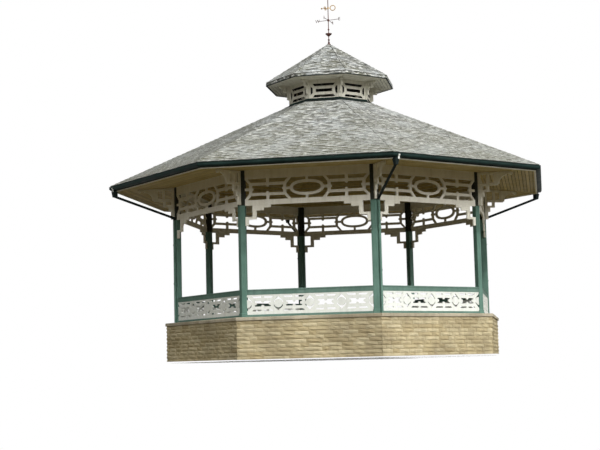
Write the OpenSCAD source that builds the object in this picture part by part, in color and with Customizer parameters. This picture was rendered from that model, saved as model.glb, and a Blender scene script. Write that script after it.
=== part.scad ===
// Octagonal park bandstand: stone plinth, eight timber posts, fretwork friezes and
// railings, a slate roof with wide boarded eaves, a small slotted lantern and a wind vane.
// The origin is on the ground at the centre. The front bay faces -Y and +Z is up.

/* [Plan] */
// Radius of the circle through the post centres
post_circle_r = 4930; // [4900:10:5000]
// Depth of a post, across the line of each bay
post_w = 165; // [155:1:175]
// Reach of a post along each bay from its centre line
post_arm = 105; // [95:1:120]
// Distance of the railings and friezes in front of the middle of the posts
infill_out = 43; // [38:1:50]
// Bevel along each edge of a post
post_bevel = 10; // [6:1:14]
// Distance from the centre to a plinth wall face
plinth_flat = 4878; // [4850:1:4900]
// Distance from the centre to the front of the gutter
gutter_flat = 6465; // [6450:1:6480]
// Distance from the centre to a lantern wall face
lantern_flat = 1222; // [1210:1:1240]
// Distance from the centre to the edge of the lantern eave
lantern_eave_flat = 1900; // [1880:1:1920]

/* [Heights] */
// Height of the deck above the ground
deck_z = 1200; // [1180:5:1220]
// Thickness of the coping stones and of the floor
coping_t = 90; // [80:1:100]
// Lower edge of the frieze board
frieze_z = 4353; // [4340:1:4360]
// Underside of the ring beam, at the top of the posts
soffit_z = 5353; // [5350:1:5360]
// Lower edge of the eaves fascia
fascia_z = 5228; // [5220:1:5236]
// Top of the slates at the eave
eave_z = 5380; // [5376:1:5390]
// Top of the slates where the lantern stands
lantern_z = 7955; // [7940:1:7970]
// Height of the lantern walls above their curb
lantern_wall_h = 572; // [560:1:585]
// Peak of the lantern roof
peak_z = 10000; // [9950:10:10050]

/* [Railing] */
// Height of the moulded top rail
top_rail_h = 150; // [140:1:160]
// Height of the bottom rail
bottom_rail_h = 75; // [65:1:85]
// Height of the pierced panel
panel_h = 552; // [545:1:560]
// Thickness of the pierced panel
panel_t = 38; // [30:1:45]
// Height of the middle of the pattern above the bottom of the panel
panel_mid = 298; // [290:1:302]
// Number of pattern repeats in a bay
panel_repeats = 4; // [3:1:5]

/* [Frieze] */
// Thickness of the frieze and of the stepped brackets
frieze_t = 50; // [40:1:60]
// Height of the frieze board
board_h = 147; // [140:1:155]
// Height of the middle of the pattern above the lower edge of the board
frieze_mid = 449; // [440:1:455]
// Half width of the oval ring
oval_w = 483; // [470:1:500]
// Half height of the oval ring
oval_h = 220; // [210:1:230]
// Width of the bars
bar_w = 80; // [70:1:88]

/* [Eaves brackets] */
// Thickness of an eaves bracket
eaves_bracket_t = 60; // [50:1:75]
// Reach of an eaves bracket from the face of its post
eaves_bracket_reach = 1040; // [1000:10:1080]
// Drop of an eaves bracket below the soffit
eaves_bracket_drop = 980; // [940:10:1000]

/* [Rainwater] */
// Outside diameter of a downpipe
pipe_d = 74; // [68:1:76]
// Depth of the gutter
gutter_h = 110; // [100:1:115]
// Width of the gutter
gutter_w = 119; // [115:1:125]

/* [Wind vane] */
// Height of the compass arms above the peak of the roof
arms_rise = 775; // [750:5:790]
// Length across the compass arms
arms_span = 706; // [660:1:740]
// Height of the pointer above the peak of the roof
pointer_rise = 1170; // [1150:5:1190]
// Length of the pointer
pointer_l = 474; // [440:2:500]
// Height of the mast above the peak of the roof
mast_h = 1700; // [1600:10:1800]

/* [Steps] */
// Number of steps below the deck
step_count = 6; // [6:1:7]
// Width of the flight
step_w = 3200; // [2800:50:3300]
// Thickness of a wall beside the steps
cheek_w = 300; // [250:10:350]

/* [Hidden] */

sides = 8;
turn = 360 / sides;
half_turn = turn / 2;
entrance_bay = 4;
// Gap left between neighbouring pieces
gap = 2;

post_flat = post_circle_r * cos(half_turn);
chord = 2 * post_circle_r * sin(half_turn);
// Distance from a post's centre to the edge where its two outer faces meet
post_ridge = post_w / 2 / cos(half_turn);
clear_half = chord / 2 - post_arm - gap / 2;

beam_out = post_flat + post_w / 2;
beam_in = post_flat - post_w / 2;
fascia_t = 30;
fascia_flat = gutter_flat - gutter_w;
slate_edge_flat = gutter_flat - 46;
slate_t = 22;
roof_t = 125;
roof_slope = (lantern_z - eave_z) / (slate_edge_flat - lantern_flat);
ceiling_drop = 330;
board_t = 25;
shaft_flat = 1150;
curb_top = lantern_z + 62;
lantern_soffit_z = curb_top + lantern_wall_h;
lantern_eave_z = lantern_soffit_z + 100;
lantern_corner_r = lantern_flat / cos(half_turn);
lantern_slope = (peak_z - lantern_eave_z) / lantern_eave_flat;

rail_top_z = deck_z + bottom_rail_h + panel_h + top_rail_h;
$fn = 48;

stone = "#b8a888";
green = "#4f7266";
dark_green = "#1f3b38";
cream = "#cfc8ae";
white = "#eef0ea";
slate = "#8d9089";
iron = "#8a5a52";

function roof_z(flat) = eave_z + (slate_edge_flat - flat) * roof_slope;

// One bay's frame: x runs along the bay and -y points outwards
module at_bay(i, flat = post_flat) {
    rotate([0, 0, i * turn])
        translate([0, -flat, 0])
            children();
}

// One post's frame: -y points outwards
module at_post(i, r = post_circle_r) {
    rotate([0, 0, i * turn + half_turn])
        translate([0, -r, 0])
            children();
}

// Eight mitred lengths of one section, whose x is the distance from the centre and y the height
module mitred_ring() {
    reach = 7200;
    set_back = gap / 2 / sin(half_turn);
    for (i = [0 : sides - 1])
        rotate([0, 0, i * turn])
            intersection() {
                rotate([90, 0, -90])
                    linear_extrude(height = 6000, center = true)
                        children();
                linear_extrude(height = 12000)
                    polygon([
                        [0, -set_back],
                        [-reach * tan(half_turn), -reach - set_back],
                        [reach * tan(half_turn), -reach - set_back],
                    ]);
            }
}

module octagon(flat) {
    rotate(half_turn)
        circle(r = flat / cos(half_turn), $fn = sides);
}

// A place in the arm of a post that lies along the bay on side s: u along it, v inwards
function in_arm(u, v, s) =
    [s * (u * cos(half_turn) - v * sin(half_turn)), u * sin(half_turn) + v * cos(half_turn)];

// Outline of a post, whose outer faces follow the two bays that meet at it
module post_outline(grow = 0) {
    h = post_w / 2 + grow;
    a = post_arm + grow;
    b = post_bevel;
    polygon([
        [0, -h / cos(half_turn)],
        in_arm(a - b, -h, 1), in_arm(a, b - h, 1), in_arm(a, h - b, 1), in_arm(a - b, h, 1),
        [0, h / cos(half_turn)],
        in_arm(a - b, h, -1), in_arm(a, h - b, -1), in_arm(a, b - h, -1), in_arm(a - b, -h, -1),
    ]);
}

// Stands a flat pattern upright along a bay: x stays and y becomes the height
module upright(t) {
    rotate([90, 0, 0])
        linear_extrude(height = t, center = true)
            children();
}

// Stone plinth

module plinth() {
    color(stone)
        linear_extrude(height = deck_z - coping_t)
            octagon(plinth_flat);
}

coping_in = 4350;
coping_out = plinth_flat + 50;

module coping() {
    nose = 18;
    color(stone)
        mitred_ring()
            polygon([
                [coping_in, deck_z - coping_t],
                [coping_out, deck_z - coping_t],
                [coping_out, deck_z - nose],
                [coping_out - nose, deck_z],
                [coping_in, deck_z],
            ]);
}

module deck_floor() {
    color(stone)
        translate([0, 0, deck_z - coping_t])
            linear_extrude(height = coping_t)
                octagon(coping_in - gap);
}

// Steps at the back bay

riser = deck_z / (step_count + 1);
flight_l = gutter_flat - plinth_flat;
tread = flight_l / step_count;

module entrance_steps() {
    color(stone)
        at_bay(entrance_bay, plinth_flat)
            for (n = [1 : step_count])
                translate([-step_w / 2, -(step_count + 1 - n) * tread, (n - 1) * riser])
                    cube([step_w, (step_count + 1 - n) * tread - gap, riser]);
}

module step_walls() {
    low = 380;
    shelf = 100;
    top = deck_z - coping_t - gap;
    color(stone)
        for (s = [-1, 1])
            at_bay(entrance_bay, 0)
                translate([s * ((step_w + cheek_w) / 2 + gap), 0, 0])
                    rotate([90, 0, -90])
                        linear_extrude(height = cheek_w, center = true)
                            polygon([
                                [plinth_flat + gap, 0],
                                [gutter_flat, 0],
                                [gutter_flat, low],
                                [plinth_flat + shelf, top],
                                [plinth_flat + gap, top],
                            ]);
}

// Posts

module post(i) {
    color(green)
        at_post(i)
            translate([0, 0, deck_z + gap / 2])
                linear_extrude(height = soffit_z - deck_z - gap)
                    post_outline();
}

// Railing

// Half width of a diamond's hole, of its frame, and the reaches of their slanted sides
hole_half = 128;
frame_half = 217;
hole_reach = 203;
frame_reach = 350;
disc_r = 117;
tie_half = 36;
slot_low = 163;
slot_high = 208;
centre_half = 76;
nub_half = 40;

// The two chevron openings of one diamond, with a round disc between them
module diamond_holes() {
    side = hole_reach - hole_half;
    difference() {
        for (s = [-1, 1])
            scale([1, s])
                polygon([
                    [-hole_half, tie_half], [hole_half, tie_half], [hole_half, side],
                    [0, hole_reach], [-hole_half, side],
                ]);
        circle(r = disc_r);
    }
}

// The openings between two diamonds: four slots and an H-shaped centre
module link_holes(half) {
    for (s = [-1, 1], u = [-1, 1])
        scale([s, u])
            polygon([
                [nub_half, slot_low], [half - frame_reach + slot_low, slot_low],
                [half - frame_reach + slot_high, slot_high], [nub_half, slot_high],
            ]);
    end = half - frame_half;
    difference() {
        square([2 * end, 2 * centre_half], center = true);
        for (s = [-1, 1]) {
            translate([s * (end - 19), 0])
                circle(r = nub_half);
            translate([s * end, 0])
                square([38, 2 * nub_half], center = true);
            translate([0, s * (centre_half - 5)])
                circle(r = nub_half);
        }
    }
}

module railing(i) {
    pitch = 2 * clear_half / panel_repeats;
    color(white)
        at_bay(i, post_flat + infill_out)
            translate([0, 0, deck_z + bottom_rail_h + panel_mid])
                upright(panel_t)
                    difference() {
                        translate([-clear_half, -panel_mid])
                            square([2 * clear_half, panel_h]);
                        for (n = [0 : panel_repeats])
                            translate([-clear_half + n * pitch, 0])
                                diamond_holes();
                        for (n = [0 : panel_repeats - 1])
                            translate([-clear_half + (n + 0.5) * pitch, 0])
                                link_holes(pitch / 2);
                    }
}

// A rail of one section along each bay but the entrance; the section's x is outwards
module bay_rails() {
    for (i = [0 : sides - 1])
        if (i != entrance_bay)
            at_bay(i, post_flat + infill_out)
                rotate([90, 0, -90])
                    linear_extrude(height = 2 * clear_half, center = true)
                        children();
}

module top_rails() {
    front = 38;
    back = -82;
    neck = 25;
    low = rail_top_z - top_rail_h;
    color(green)
        bay_rails()
            polygon([
                [-neck, low], [neck, low], [neck, low + 104], [front - 5, low + 118],
                [front, low + 118], [front, low + 138], [front - 12, low + top_rail_h],
                [back + 12, low + top_rail_h], [back, low + 138], [back, low + 118],
                [-neck - 14, low + 118], [-neck, low + 104],
            ]);
}

module bottom_rails() {
    half = 38;
    slope = 18;
    color(green)
        bay_rails()
            polygon([
                [-half, deck_z], [half, deck_z], [half, deck_z + bottom_rail_h - slope],
                [panel_t / 2, deck_z + bottom_rail_h], [-panel_t / 2, deck_z + bottom_rail_h],
                [-half, deck_z + bottom_rail_h - slope],
            ]);
}

// Frieze

rail_off = 147;
board_in = frieze_mid - board_h;
mid_frame = 675;
end_frame = 212;
slant = 140;
nub_out = 35;
oval_bar = 85;

// Points of a slightly squared oval
function oval(a, b) = [
    for (t = [0 : 7.5 : 352.5])
        [a * sign(cos(t)) * pow(abs(cos(t)), 0.88), b * sign(sin(t)) * pow(abs(sin(t)), 0.88)],
];

// Outline with upright sides that slant in towards the boards above and below it, and
// that meet in a point where the outline is too narrow to reach them
function slanted(half, side) =
    let (rise = board_in + 1 - side)
    let (tip = half > slant
        ? [[half - slant, side + rise], [slant - half, side + rise]]
        : [[0, side + rise * half / slant]])
    concat([[half, -side], [half, side]], tip, [[-half, side], [-half, -side]],
        [for (p = [len(tip) - 1 : -1 : 0]) [tip[p][0], -tip[p][1]]]);

// A bar frame between two such outlines
module slanted_frame(half) {
    inner = half - bar_w - 8;
    difference() {
        polygon(slanted(half, rail_off));
        polygon(slanted(inner, rail_off - 12));
    }
}

// A bar with round ends between two places on one line
module round_bar(x0, x1, w) {
    translate([x0, -w / 2])
        square([x1 - x0, w]);
    for (x = [x0, x1])
        translate([x, 0])
            circle(r = w / 2);
}

// The bars between the two boards
module frieze_bars() {
    tie_x = (mid_frame + clear_half - end_frame) / 2;
    bar_end = rail_off - bar_w / 2 - 5;
    difference() {
        polygon(oval(oval_w, oval_h));
        polygon(oval(oval_w - oval_bar, oval_h - oval_bar + 8));
    }
    slanted_frame(mid_frame);
    for (s = [-1, 1]) {
        translate([s * clear_half, 0])
            slanted_frame(end_frame);
        scale([s, 1]) {
            round_bar(oval_w - 20, mid_frame + nub_out - 36, 72);
            round_bar(clear_half - end_frame - nub_out + 36, clear_half, 72);
        }
        rotate(s * 90)
            translate([oval_h - 10, -35])
                square([board_in - oval_h + 20, 70]);
        for (u = [-1, 1]) {
            scale([s, u])
                translate([mid_frame - 20, rail_off - bar_w / 2])
                    square([clear_half - end_frame - mid_frame + 40, bar_w]);
            translate([s * tie_x, 0])
                rotate(u * 90)
                    round_bar(bar_end, board_in + 10, bar_w);
        }
    }
}

module frieze_pattern() {
    difference() {
        translate([-clear_half, -frieze_mid])
            square([2 * clear_half, soffit_z - frieze_z]);
        difference() {
            square([chord, 2 * board_in], center = true);
            frieze_bars();
        }
    }
}

module frieze(i) {
    color(cream)
        at_bay(i, post_flat + infill_out)
            translate([0, 0, frieze_z + frieze_mid])
                upright(frieze_t)
                    frieze_pattern();
}

// The stepped brackets under the two ends of each frieze board
module stepped_bracket_outline() {
    difference() {
        polygon([
            [0, 0], [740, 0], [740, -78], [540, -78], [540, -156], [325, -156],
            [325, -400], [95, -400], [95, -580], [0, -580],
        ]);
        translate([-1, -330])
            square([208, 318]);
    }
}

module stepped_brackets() {
    color(cream)
        for (i = [0 : sides - 1])
            at_bay(i, post_flat + infill_out)
                translate([0, 0, frieze_z])
                    upright(frieze_t)
                        for (s = [-1, 1])
                            scale([s, 1])
                                translate([-clear_half, 0])
                                    stepped_bracket_outline();
}

// Radial brackets under the eaves
soffit_drop = 10;
soffit_fall = (soffit_z - fascia_z - soffit_drop) / (fascia_flat - fascia_t - beam_out);
hip_fall = soffit_fall * cos(half_turn);

// Points along a quarter round, from an angle to another
function arc(cx, cy, r, a0, a1) = [
    for (n = [0 : 12])
        let (a = a0 + (a1 - a0) * n / 12) [cx + r * cos(a), cy + r * sin(a)],
];

// Height of the middle of a bracket's top rail
function rail_mid(x) = -40 - x * hip_fall;

module eaves_bracket_outline() {
    reach = eaves_bracket_reach;
    half = 30;
    // Top rail with a round tip
    polygon([
        [-20, rail_mid(-20) + half], [reach, rail_mid(reach) + half],
        [reach, rail_mid(reach) - half], [-20, rail_mid(-20) - half],
    ]);
    translate([reach, rail_mid(reach) - 20])
        circle(r = 48);
    // Quarter round brace
    difference() {
        polygon(concat(
            [[560, rail_mid(560)], [880, rail_mid(880)]],
            arc(900, -400, 240, 90, 180), [[560, -400]]));
        translate([900, -400])
            circle(r = 240);
    }
    // Upright bars and the bar below them
    for (u = [-20, 270, 500])
        polygon([[u, rail_mid(u)], [u + 80, rail_mid(u + 80)], [u + 80, -400], [u, -400]]);
    translate([-20, -430])
        square([640, 75]);
    // Square frame, step and pendant
    difference() {
        translate([-20, -600])
            square([350, 220]);
        translate([85, -540])
            square([160, 120]);
    }
    translate([-20, -740])
        square([190, 150]);
    translate([-20, -eaves_bracket_drop])
        square([115, eaves_bracket_drop - 700]);
}

module eaves_brackets() {
    color(cream)
        for (i = [0 : sides - 1])
            at_post(i)
                difference() {
                    translate([0, -post_ridge, soffit_z])
                        rotate([90, 0, -90])
                            linear_extrude(height = eaves_bracket_t, center = true)
                                eaves_bracket_outline();
                    linear_extrude(height = soffit_z + 1)
                        post_outline(gap / 2);
                }
}

// Ring beam, eaves and ceiling

module ring_beam() {
    color(cream)
        mitred_ring()
            polygon([
                [beam_in, soffit_z], [beam_out, soffit_z],
                [beam_out, roof_z(beam_out) - roof_t - gap],
                [beam_in, roof_z(beam_in) - roof_t - gap],
            ]);
}

module soffit() {
    out = fascia_flat - fascia_t;
    low = fascia_z + soffit_drop;
    color(cream)
        mitred_ring()
            polygon([
                [beam_out + gap, soffit_z], [out - gap, low], [out - gap, low + board_t],
                [beam_out + gap, soffit_z + board_t],
            ]);
}

module ceiling() {
    color(cream)
        mitred_ring()
            polygon([
                [beam_in - gap, roof_z(beam_in) - ceiling_drop],
                [shaft_flat, roof_z(shaft_flat) - ceiling_drop],
                [shaft_flat, roof_z(shaft_flat) - ceiling_drop + board_t],
                [beam_in - gap, roof_z(beam_in) - ceiling_drop + board_t],
            ]);
}

module fascia() {
    back = fascia_flat - fascia_t;
    color(dark_green)
        mitred_ring()
            polygon([
                [back, fascia_z], [fascia_flat, fascia_z],
                [fascia_flat, roof_z(fascia_flat) - roof_t - gap],
                [back, roof_z(back) - roof_t - gap],
            ]);
}

// Gutter section, a trough with a rounded front
module gutter_section() {
    wall = 6;
    low = eave_z - 21 - gutter_h;
    top = eave_z - 21;
    r = gutter_w * 0.62;
    difference() {
        intersection() {
            translate([fascia_flat, low])
                square([gutter_w, gutter_h]);
            union() {
                translate([gutter_flat - r, low + r])
                    circle(r = r);
                translate([fascia_flat, low])
                    square([gutter_w - r, gutter_h]);
                translate([fascia_flat, low + r])
                    square([gutter_w, gutter_h - r]);
            }
        }
        intersection() {
            translate([fascia_flat + wall, low + wall])
                square([gutter_w - 2 * wall, gutter_h]);
            union() {
                translate([gutter_flat - r, low + r])
                    circle(r = r - wall);
                translate([fascia_flat, low + wall])
                    square([gutter_w - r, gutter_h]);
                translate([fascia_flat, low + r])
                    square([gutter_w, gutter_h]);
            }
        }
    }
    translate([gutter_flat - 12, top - 10])
        square([12, 10]);
}

module gutter() {
    color(dark_green)
        mitred_ring()
            gutter_section();
}

// A round bar from one place to another
module rod(p, q, r) {
    d = q - p;
    translate(p)
        rotate([0, acos(d[2] / norm(d)), atan2(d[1], d[0])])
            cylinder(h = norm(d), r = r);
}

module downpipes() {
    r = pipe_d / 2;
    socket = 6;
    clip = 8;
    bend_z = frieze_z + 47;
    // The box under the gutter, measured along its bay from the corner of the eaves
    box_mid = 105;
    box_w = 140;
    box_d = 150;
    box_h = 185;
    box_top = fascia_z - 3 * gap;
    box_flat = fascia_flat + 2 * (r + gap) - box_d / 2;
    head = [-fascia_flat * tan(half_turn) + box_mid, -box_flat, box_top - box_h + 25];
    foot = [-chord / 2 + post_arm / 2, -(post_flat + post_w / 2 + r + clip + gap), deck_z];
    bend = [foot[0], foot[1], bend_z];
    color(dark_green)
        for (i = [1 : 2 : sides - 1])
            at_bay(i, 0) {
                translate(foot)
                    cylinder(h = bend_z - deck_z, r = r);
                translate(bend)
                    sphere(r = r + socket);
                rod(bend, head, r);
                translate(head - [box_w / 2, box_d / 2, 25])
                    cube([box_w, box_d, box_h]);
                translate([head[0], -fascia_flat - r - gap, box_top - 1])
                    cylinder(h = eave_z - 21 - gutter_h - gap - box_top + 1, r = r);
                for (z = [deck_z + 1170, bend_z - 850])
                    translate([foot[0], foot[1], z])
                        cylinder(h = 45, r = r + clip);
            }
}

// Roof

module main_roof() {
    color(slate)
        mitred_ring()
            polygon([
                [slate_edge_flat, eave_z], [slate_edge_flat, eave_z - slate_t],
                [fascia_flat, roof_z(fascia_flat) - slate_t],
                [fascia_flat, roof_z(fascia_flat) - roof_t],
                [shaft_flat, roof_z(shaft_flat) - roof_t], [shaft_flat, roof_z(shaft_flat)],
            ]);
}

// Lantern

lining_t = 30;

module lantern_lining() {
    color(cream)
        mitred_ring()
            translate([shaft_flat - lining_t, roof_z(shaft_flat) - ceiling_drop])
                square([lining_t, curb_top - roof_z(shaft_flat) + ceiling_drop]);
}

curb_out = lantern_flat + 12;

module lantern_curb() {
    color(dark_green)
        mitred_ring()
            polygon([
                [shaft_flat, roof_z(shaft_flat)], [curb_out, roof_z(curb_out)],
                [curb_out, curb_top - 15], [curb_out - 15, curb_top], [shaft_flat, curb_top],
            ]);
}

corner_w = 90;
lantern_panel_t = 40;
lantern_half = lantern_flat * tan(half_turn) - 20;

// Openings of one lantern panel: three slots, and one at each end beside the waist
module lantern_holes() {
    mid = 241;
    wide = 345;
    waist = 252;
    for (s = [-1, 1])
        translate([0, mid])
            scale([1, s])
                polygon([
                    [-wide + 50, 140], [wide - 50, 140], [wide, 212], [-wide, 212],
                ]);
    translate([-waist, mid - 45])
        square([2 * waist, 90]);
    for (s = [-1, 1])
        translate([0, mid])
            scale([s, 1])
                polygon([
                    [waist + 100, -65], [waist + 163, -137], [waist + 163, 137], [waist + 100, 65],
                ]);
}

module lantern_panels() {
    color(cream)
        for (i = [0 : sides - 1])
            at_bay(i, lantern_flat - lantern_panel_t / 2)
                difference() {
                    translate([0, 0, curb_top])
                        upright(lantern_panel_t)
                            difference() {
                                translate([-lantern_half, 0])
                                    square([2 * lantern_half, lantern_wall_h]);
                                lantern_holes();
                            }
                    for (s = [-1, 1])
                        translate([0, lantern_flat - lantern_panel_t / 2, 0])
                            rotate([0, 0, s * half_turn])
                                translate([-corner_w / 2, -lantern_corner_r - 40, curb_top - 1])
                                    cube([corner_w, corner_w + 60, lantern_wall_h + 2]);
                }
}

// Corner posts of the lantern, each with a stepped bracket under the eave
module lantern_corners() {
    foot = lantern_corner_r + 10;
    h = lantern_wall_h - gap;
    color(cream)
        for (i = [0 : sides - 1])
            at_post(i, foot)
                translate([0, 0, curb_top + gap / 2]) {
                    translate([-corner_w / 2, 0, 0])
                        cube([corner_w, corner_w, h]);
                    rotate([90, 0, -90])
                        linear_extrude(height = 60, center = true)
                            difference() {
                                polygon([
                                    [0, h], [330, h], [330, h - 60], [200, h - 70],
                                    [200, h - 210], [70, h - 210], [70, h - 420], [0, h - 450],
                                ]);
                                translate([60, h - 150])
                                    square([70, 80]);
                            }
                }
}

module lantern_soffit() {
    color(cream)
        mitred_ring()
            translate([lantern_flat - lantern_panel_t, lantern_soffit_z])
                square([lantern_eave_flat - 30 - lantern_flat + lantern_panel_t, board_t]);
}

module lantern_roof() {
    color(slate)
        mitred_ring()
            polygon([
                [lantern_eave_flat, lantern_eave_z], [lantern_eave_flat, lantern_soffit_z - 6],
                [lantern_eave_flat - 28, lantern_soffit_z - 6],
                [lantern_eave_flat - 28, lantern_soffit_z + board_t + gap],
                [lantern_eave_flat - 190, lantern_soffit_z + board_t + gap],
                [20, peak_z - 130 - 20 * lantern_slope], [20, peak_z - 20 * lantern_slope],
            ]);
}

// Mast and wind vane

mast_r = 13;
hub_gap = 0.5;
arms_turn = -12;

module mast() {
    // The flared foot follows the roof, a gap above it
    fall = lantern_slope * cos(half_turn);
    foot_r = 69;
    color(iron)
        translate([0, 0, peak_z]) {
            rotate_extrude()
                polygon([
                    [0, -60], [mast_r, -60], [mast_r, gap - mast_r * fall],
                    [foot_r, gap - foot_r * fall], [foot_r - 3, -25], [46, 5], [30, 22],
                    [mast_r, 40],
                    [mast_r, 240], [34, 258], [102, 322], [102, 338], [mast_r, 345],
                    [mast_r, mast_h - 80], [0, mast_h],
                ]);
            for (knob = [[55, 32], [132, 32], [470, 29]])
                translate([0, 0, knob[0]])
                    sphere(r = knob[1]);
        }
}

module compass_arms() {
    r = 8;
    color(iron)
        translate([0, 0, peak_z + arms_rise]) {
            difference() {
                union() {
                    translate([0, 0, -30])
                        cylinder(h = 60, r = 30);
                    for (a = [0, 90])
                        rotate([0, 0, arms_turn + a])
                            translate([-arms_span / 2, 0, 0])
                                rotate([0, 90, 0])
                                    cylinder(h = arms_span, r = r);
                }
                translate([0, 0, -50])
                    cylinder(h = 100, r = mast_r);
            }
        }
}

// A flat ring standing along the pointer
module pointer_ring(x, z, out, t) {
    translate([x, 0, z])
        upright(t)
            difference() {
                circle(r = out);
                circle(r = out - 22);
            }
}

module vane() {
    r = 8;
    tail_r = 92;
    ball_r = 25;
    tail_x = tail_r + 60;
    ball_x = tail_x + tail_r + ball_r - pointer_l;
    color("#b8903c")
        translate([0, 0, peak_z + pointer_rise])
            difference() {
                union() {
                    translate([0, 0, -32])
                        cylinder(h = 64, r = mast_r + 8);
                    translate([ball_x, 0, 0])
                        rotate([0, 90, 0])
                            cylinder(h = tail_x - tail_r + 5 - ball_x, r = r);
                    translate([ball_x, 0, 0])
                        sphere(r = ball_r);
                    pointer_ring(-104, 30, 34, 9);
                    pointer_ring(-80, -30, 34, 9);
                    pointer_ring(tail_x, 0, tail_r, 10);
                }
                translate([0, 0, -50])
                    cylinder(h = 100, r = mast_r + hub_gap);
            }
}

plinth();
coping();
deck_floor();
entrance_steps();
step_walls();
post(0);  // post_1
post(1);  // post_2
post(2);  // post_3
post(3);  // post_4
post(4);  // post_5
post(5);  // post_6
post(6);  // post_7
post(7);  // post_8
railing(0);  // railing_front
railing(1);  // railing_front_right
railing(2);  // railing_right
railing(3);  // railing_back_right
railing(5);  // railing_back_left
railing(6);  // railing_left
railing(7);  // railing_front_left
top_rails();
bottom_rails();
frieze(0);  // frieze_1
frieze(1);  // frieze_2
frieze(2);  // frieze_3
frieze(3);  // frieze_4
frieze(4);  // frieze_5
frieze(5);  // frieze_6
frieze(6);  // frieze_7
frieze(7);  // frieze_8
stepped_brackets();
eaves_brackets();
ring_beam();
soffit();
ceiling();
fascia();
gutter();
downpipes();
main_roof();
lantern_lining();
lantern_curb();
lantern_panels();
lantern_corners();
lantern_soffit();
lantern_roof();
mast();
compass_arms();
vane();
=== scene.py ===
"""Dresses an octagonal park bandstand: slates, boards, coursed stone, painted fretwork and a vane."""

import logging
import math
from collections.abc import Callable, Iterable
from dataclasses import dataclass, field
from enum import Enum

import bpy
import numpy as np
from mathutils import Matrix, Vector

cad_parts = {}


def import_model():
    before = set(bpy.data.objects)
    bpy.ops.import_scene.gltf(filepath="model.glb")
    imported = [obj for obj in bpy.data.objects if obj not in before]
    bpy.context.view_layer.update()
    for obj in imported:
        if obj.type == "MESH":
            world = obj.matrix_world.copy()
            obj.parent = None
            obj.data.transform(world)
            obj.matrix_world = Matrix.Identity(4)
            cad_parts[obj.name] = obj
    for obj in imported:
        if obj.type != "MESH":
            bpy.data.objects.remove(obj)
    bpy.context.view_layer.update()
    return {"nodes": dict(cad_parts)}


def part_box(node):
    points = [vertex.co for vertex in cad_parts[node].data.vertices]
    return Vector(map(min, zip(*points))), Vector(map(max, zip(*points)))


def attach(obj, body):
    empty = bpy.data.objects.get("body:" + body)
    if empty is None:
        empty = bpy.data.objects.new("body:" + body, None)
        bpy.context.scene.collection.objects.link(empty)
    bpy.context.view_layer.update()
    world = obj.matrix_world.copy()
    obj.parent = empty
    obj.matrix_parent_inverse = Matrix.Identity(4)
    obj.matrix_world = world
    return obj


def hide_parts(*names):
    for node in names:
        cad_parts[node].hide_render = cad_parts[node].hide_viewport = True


LOG = logging.getLogger("bandstand")

SIDES = 8
TURN = math.tau / SIDES
HALF_TURN = TURN / 2
STAND = "bandstand"
TONE = "tone"
TAIL = "tail"
PAINTED_RECESS_SHADE = "painted_recess_shade"
NEAR = 0.001
MERGE = 0.0002
SPARE = 0.05
WHITE = (1.0, 1.0, 1.0, 1.0)

Colour = tuple[int, int, int]


class Pick(Enum):
    """What is selected in edit mode: the value is Blender's select mode."""

    POINTS = (True, False, False)
    EDGES = (False, True, False)
    FACES = (False, False, True)


class Slot(Enum):
    """Material slots of the record that the pieces take their finish from."""

    PLINTH = "plinth_stone"
    COPING = "coping_stone"
    DECK = "deck_stone"
    POST = "post_paint"
    RAIL = "rail_paint"
    PANEL = "white_paint"
    FRIEZE = "cream_paint"
    BOARDS = "board_paint"
    GUTTER = "gutter_paint"
    FASCIA = "fascia_paint"
    SLATES = "slates"
    LANTERN = "lantern_paint"
    IRON = "vane_iron"
    GILT = "vane_gilt"


def linear(colour: Colour) -> tuple[float, float, float, float]:
    """Turns an 8 bit sRGB colour into Blender's linear one.

    Args:
        colour: Red, green and blue from 0 to 255.

    Returns:
        Linear red, green, blue and an alpha of 1.
    """
    parts = [c / 255 for c in colour]
    red, green, blue = (p / 12.92 if p <= 0.04045 else ((p + 0.055) / 1.055) ** 2.4 for p in parts)
    return red, green, blue, 1.0


# Mesh tools


def only(*objects: bpy.types.Object) -> None:
    """Selects these objects and nothing else, and makes the first one active.

    Args:
        *objects: The objects.
    """
    if bpy.context.object and bpy.context.object.mode != "OBJECT":
        bpy.ops.object.mode_set(mode="OBJECT")
    bpy.ops.object.select_all(action="DESELECT")
    for obj in objects:
        obj.select_set(True)
    bpy.context.view_layer.objects.active = objects[0]


def edit(obj: bpy.types.Object, pick: Pick, test: Callable | None = None) -> None:
    """Opens an object in edit mode with some of its points, edges or faces selected.

    Args:
        obj: The mesh object.
        pick: What is selected.
        test: Takes a point, an edge's two end points or a face, and says whether it is selected. All without it.
    """
    only(obj)
    mesh = obj.data
    for group in (mesh.vertices, mesh.edges, mesh.polygons):
        group.foreach_set("select", [test is None] * len(group))
    if test is not None:
        if pick is Pick.POINTS:
            mesh.vertices.foreach_set("select", [bool(test(v.co)) for v in mesh.vertices])
        elif pick is Pick.EDGES:
            ends = [[mesh.vertices[n].co for n in e.vertices] for e in mesh.edges]
            mesh.edges.foreach_set("select", [bool(test(a, b)) for a, b in ends])
        else:
            mesh.polygons.foreach_set("select", [bool(test(p)) for p in mesh.polygons])
    bpy.context.tool_settings.mesh_select_mode = pick.value
    bpy.ops.object.mode_set(mode="EDIT")


def done() -> None:
    """Goes back to object mode."""
    bpy.ops.object.mode_set(mode="OBJECT")


def block(name: str, low: Iterable[float], high: Iterable[float]) -> bpy.types.Object:
    """Adds a box between two corners, with its place in its mesh.

    Args:
        name: Name of the new object.
        low: Its lowest corner.
        high: Its highest corner.

    Returns:
        The new object.
    """
    low, high = Vector(low), Vector(high)
    bpy.ops.mesh.primitive_cube_add(size=1, location=(low + high) / 2)
    obj = bpy.context.object
    obj.scale = high - low
    bpy.ops.object.transform_apply(location=True, rotation=True, scale=True)
    obj.name = obj.data.name = name
    return obj


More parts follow.
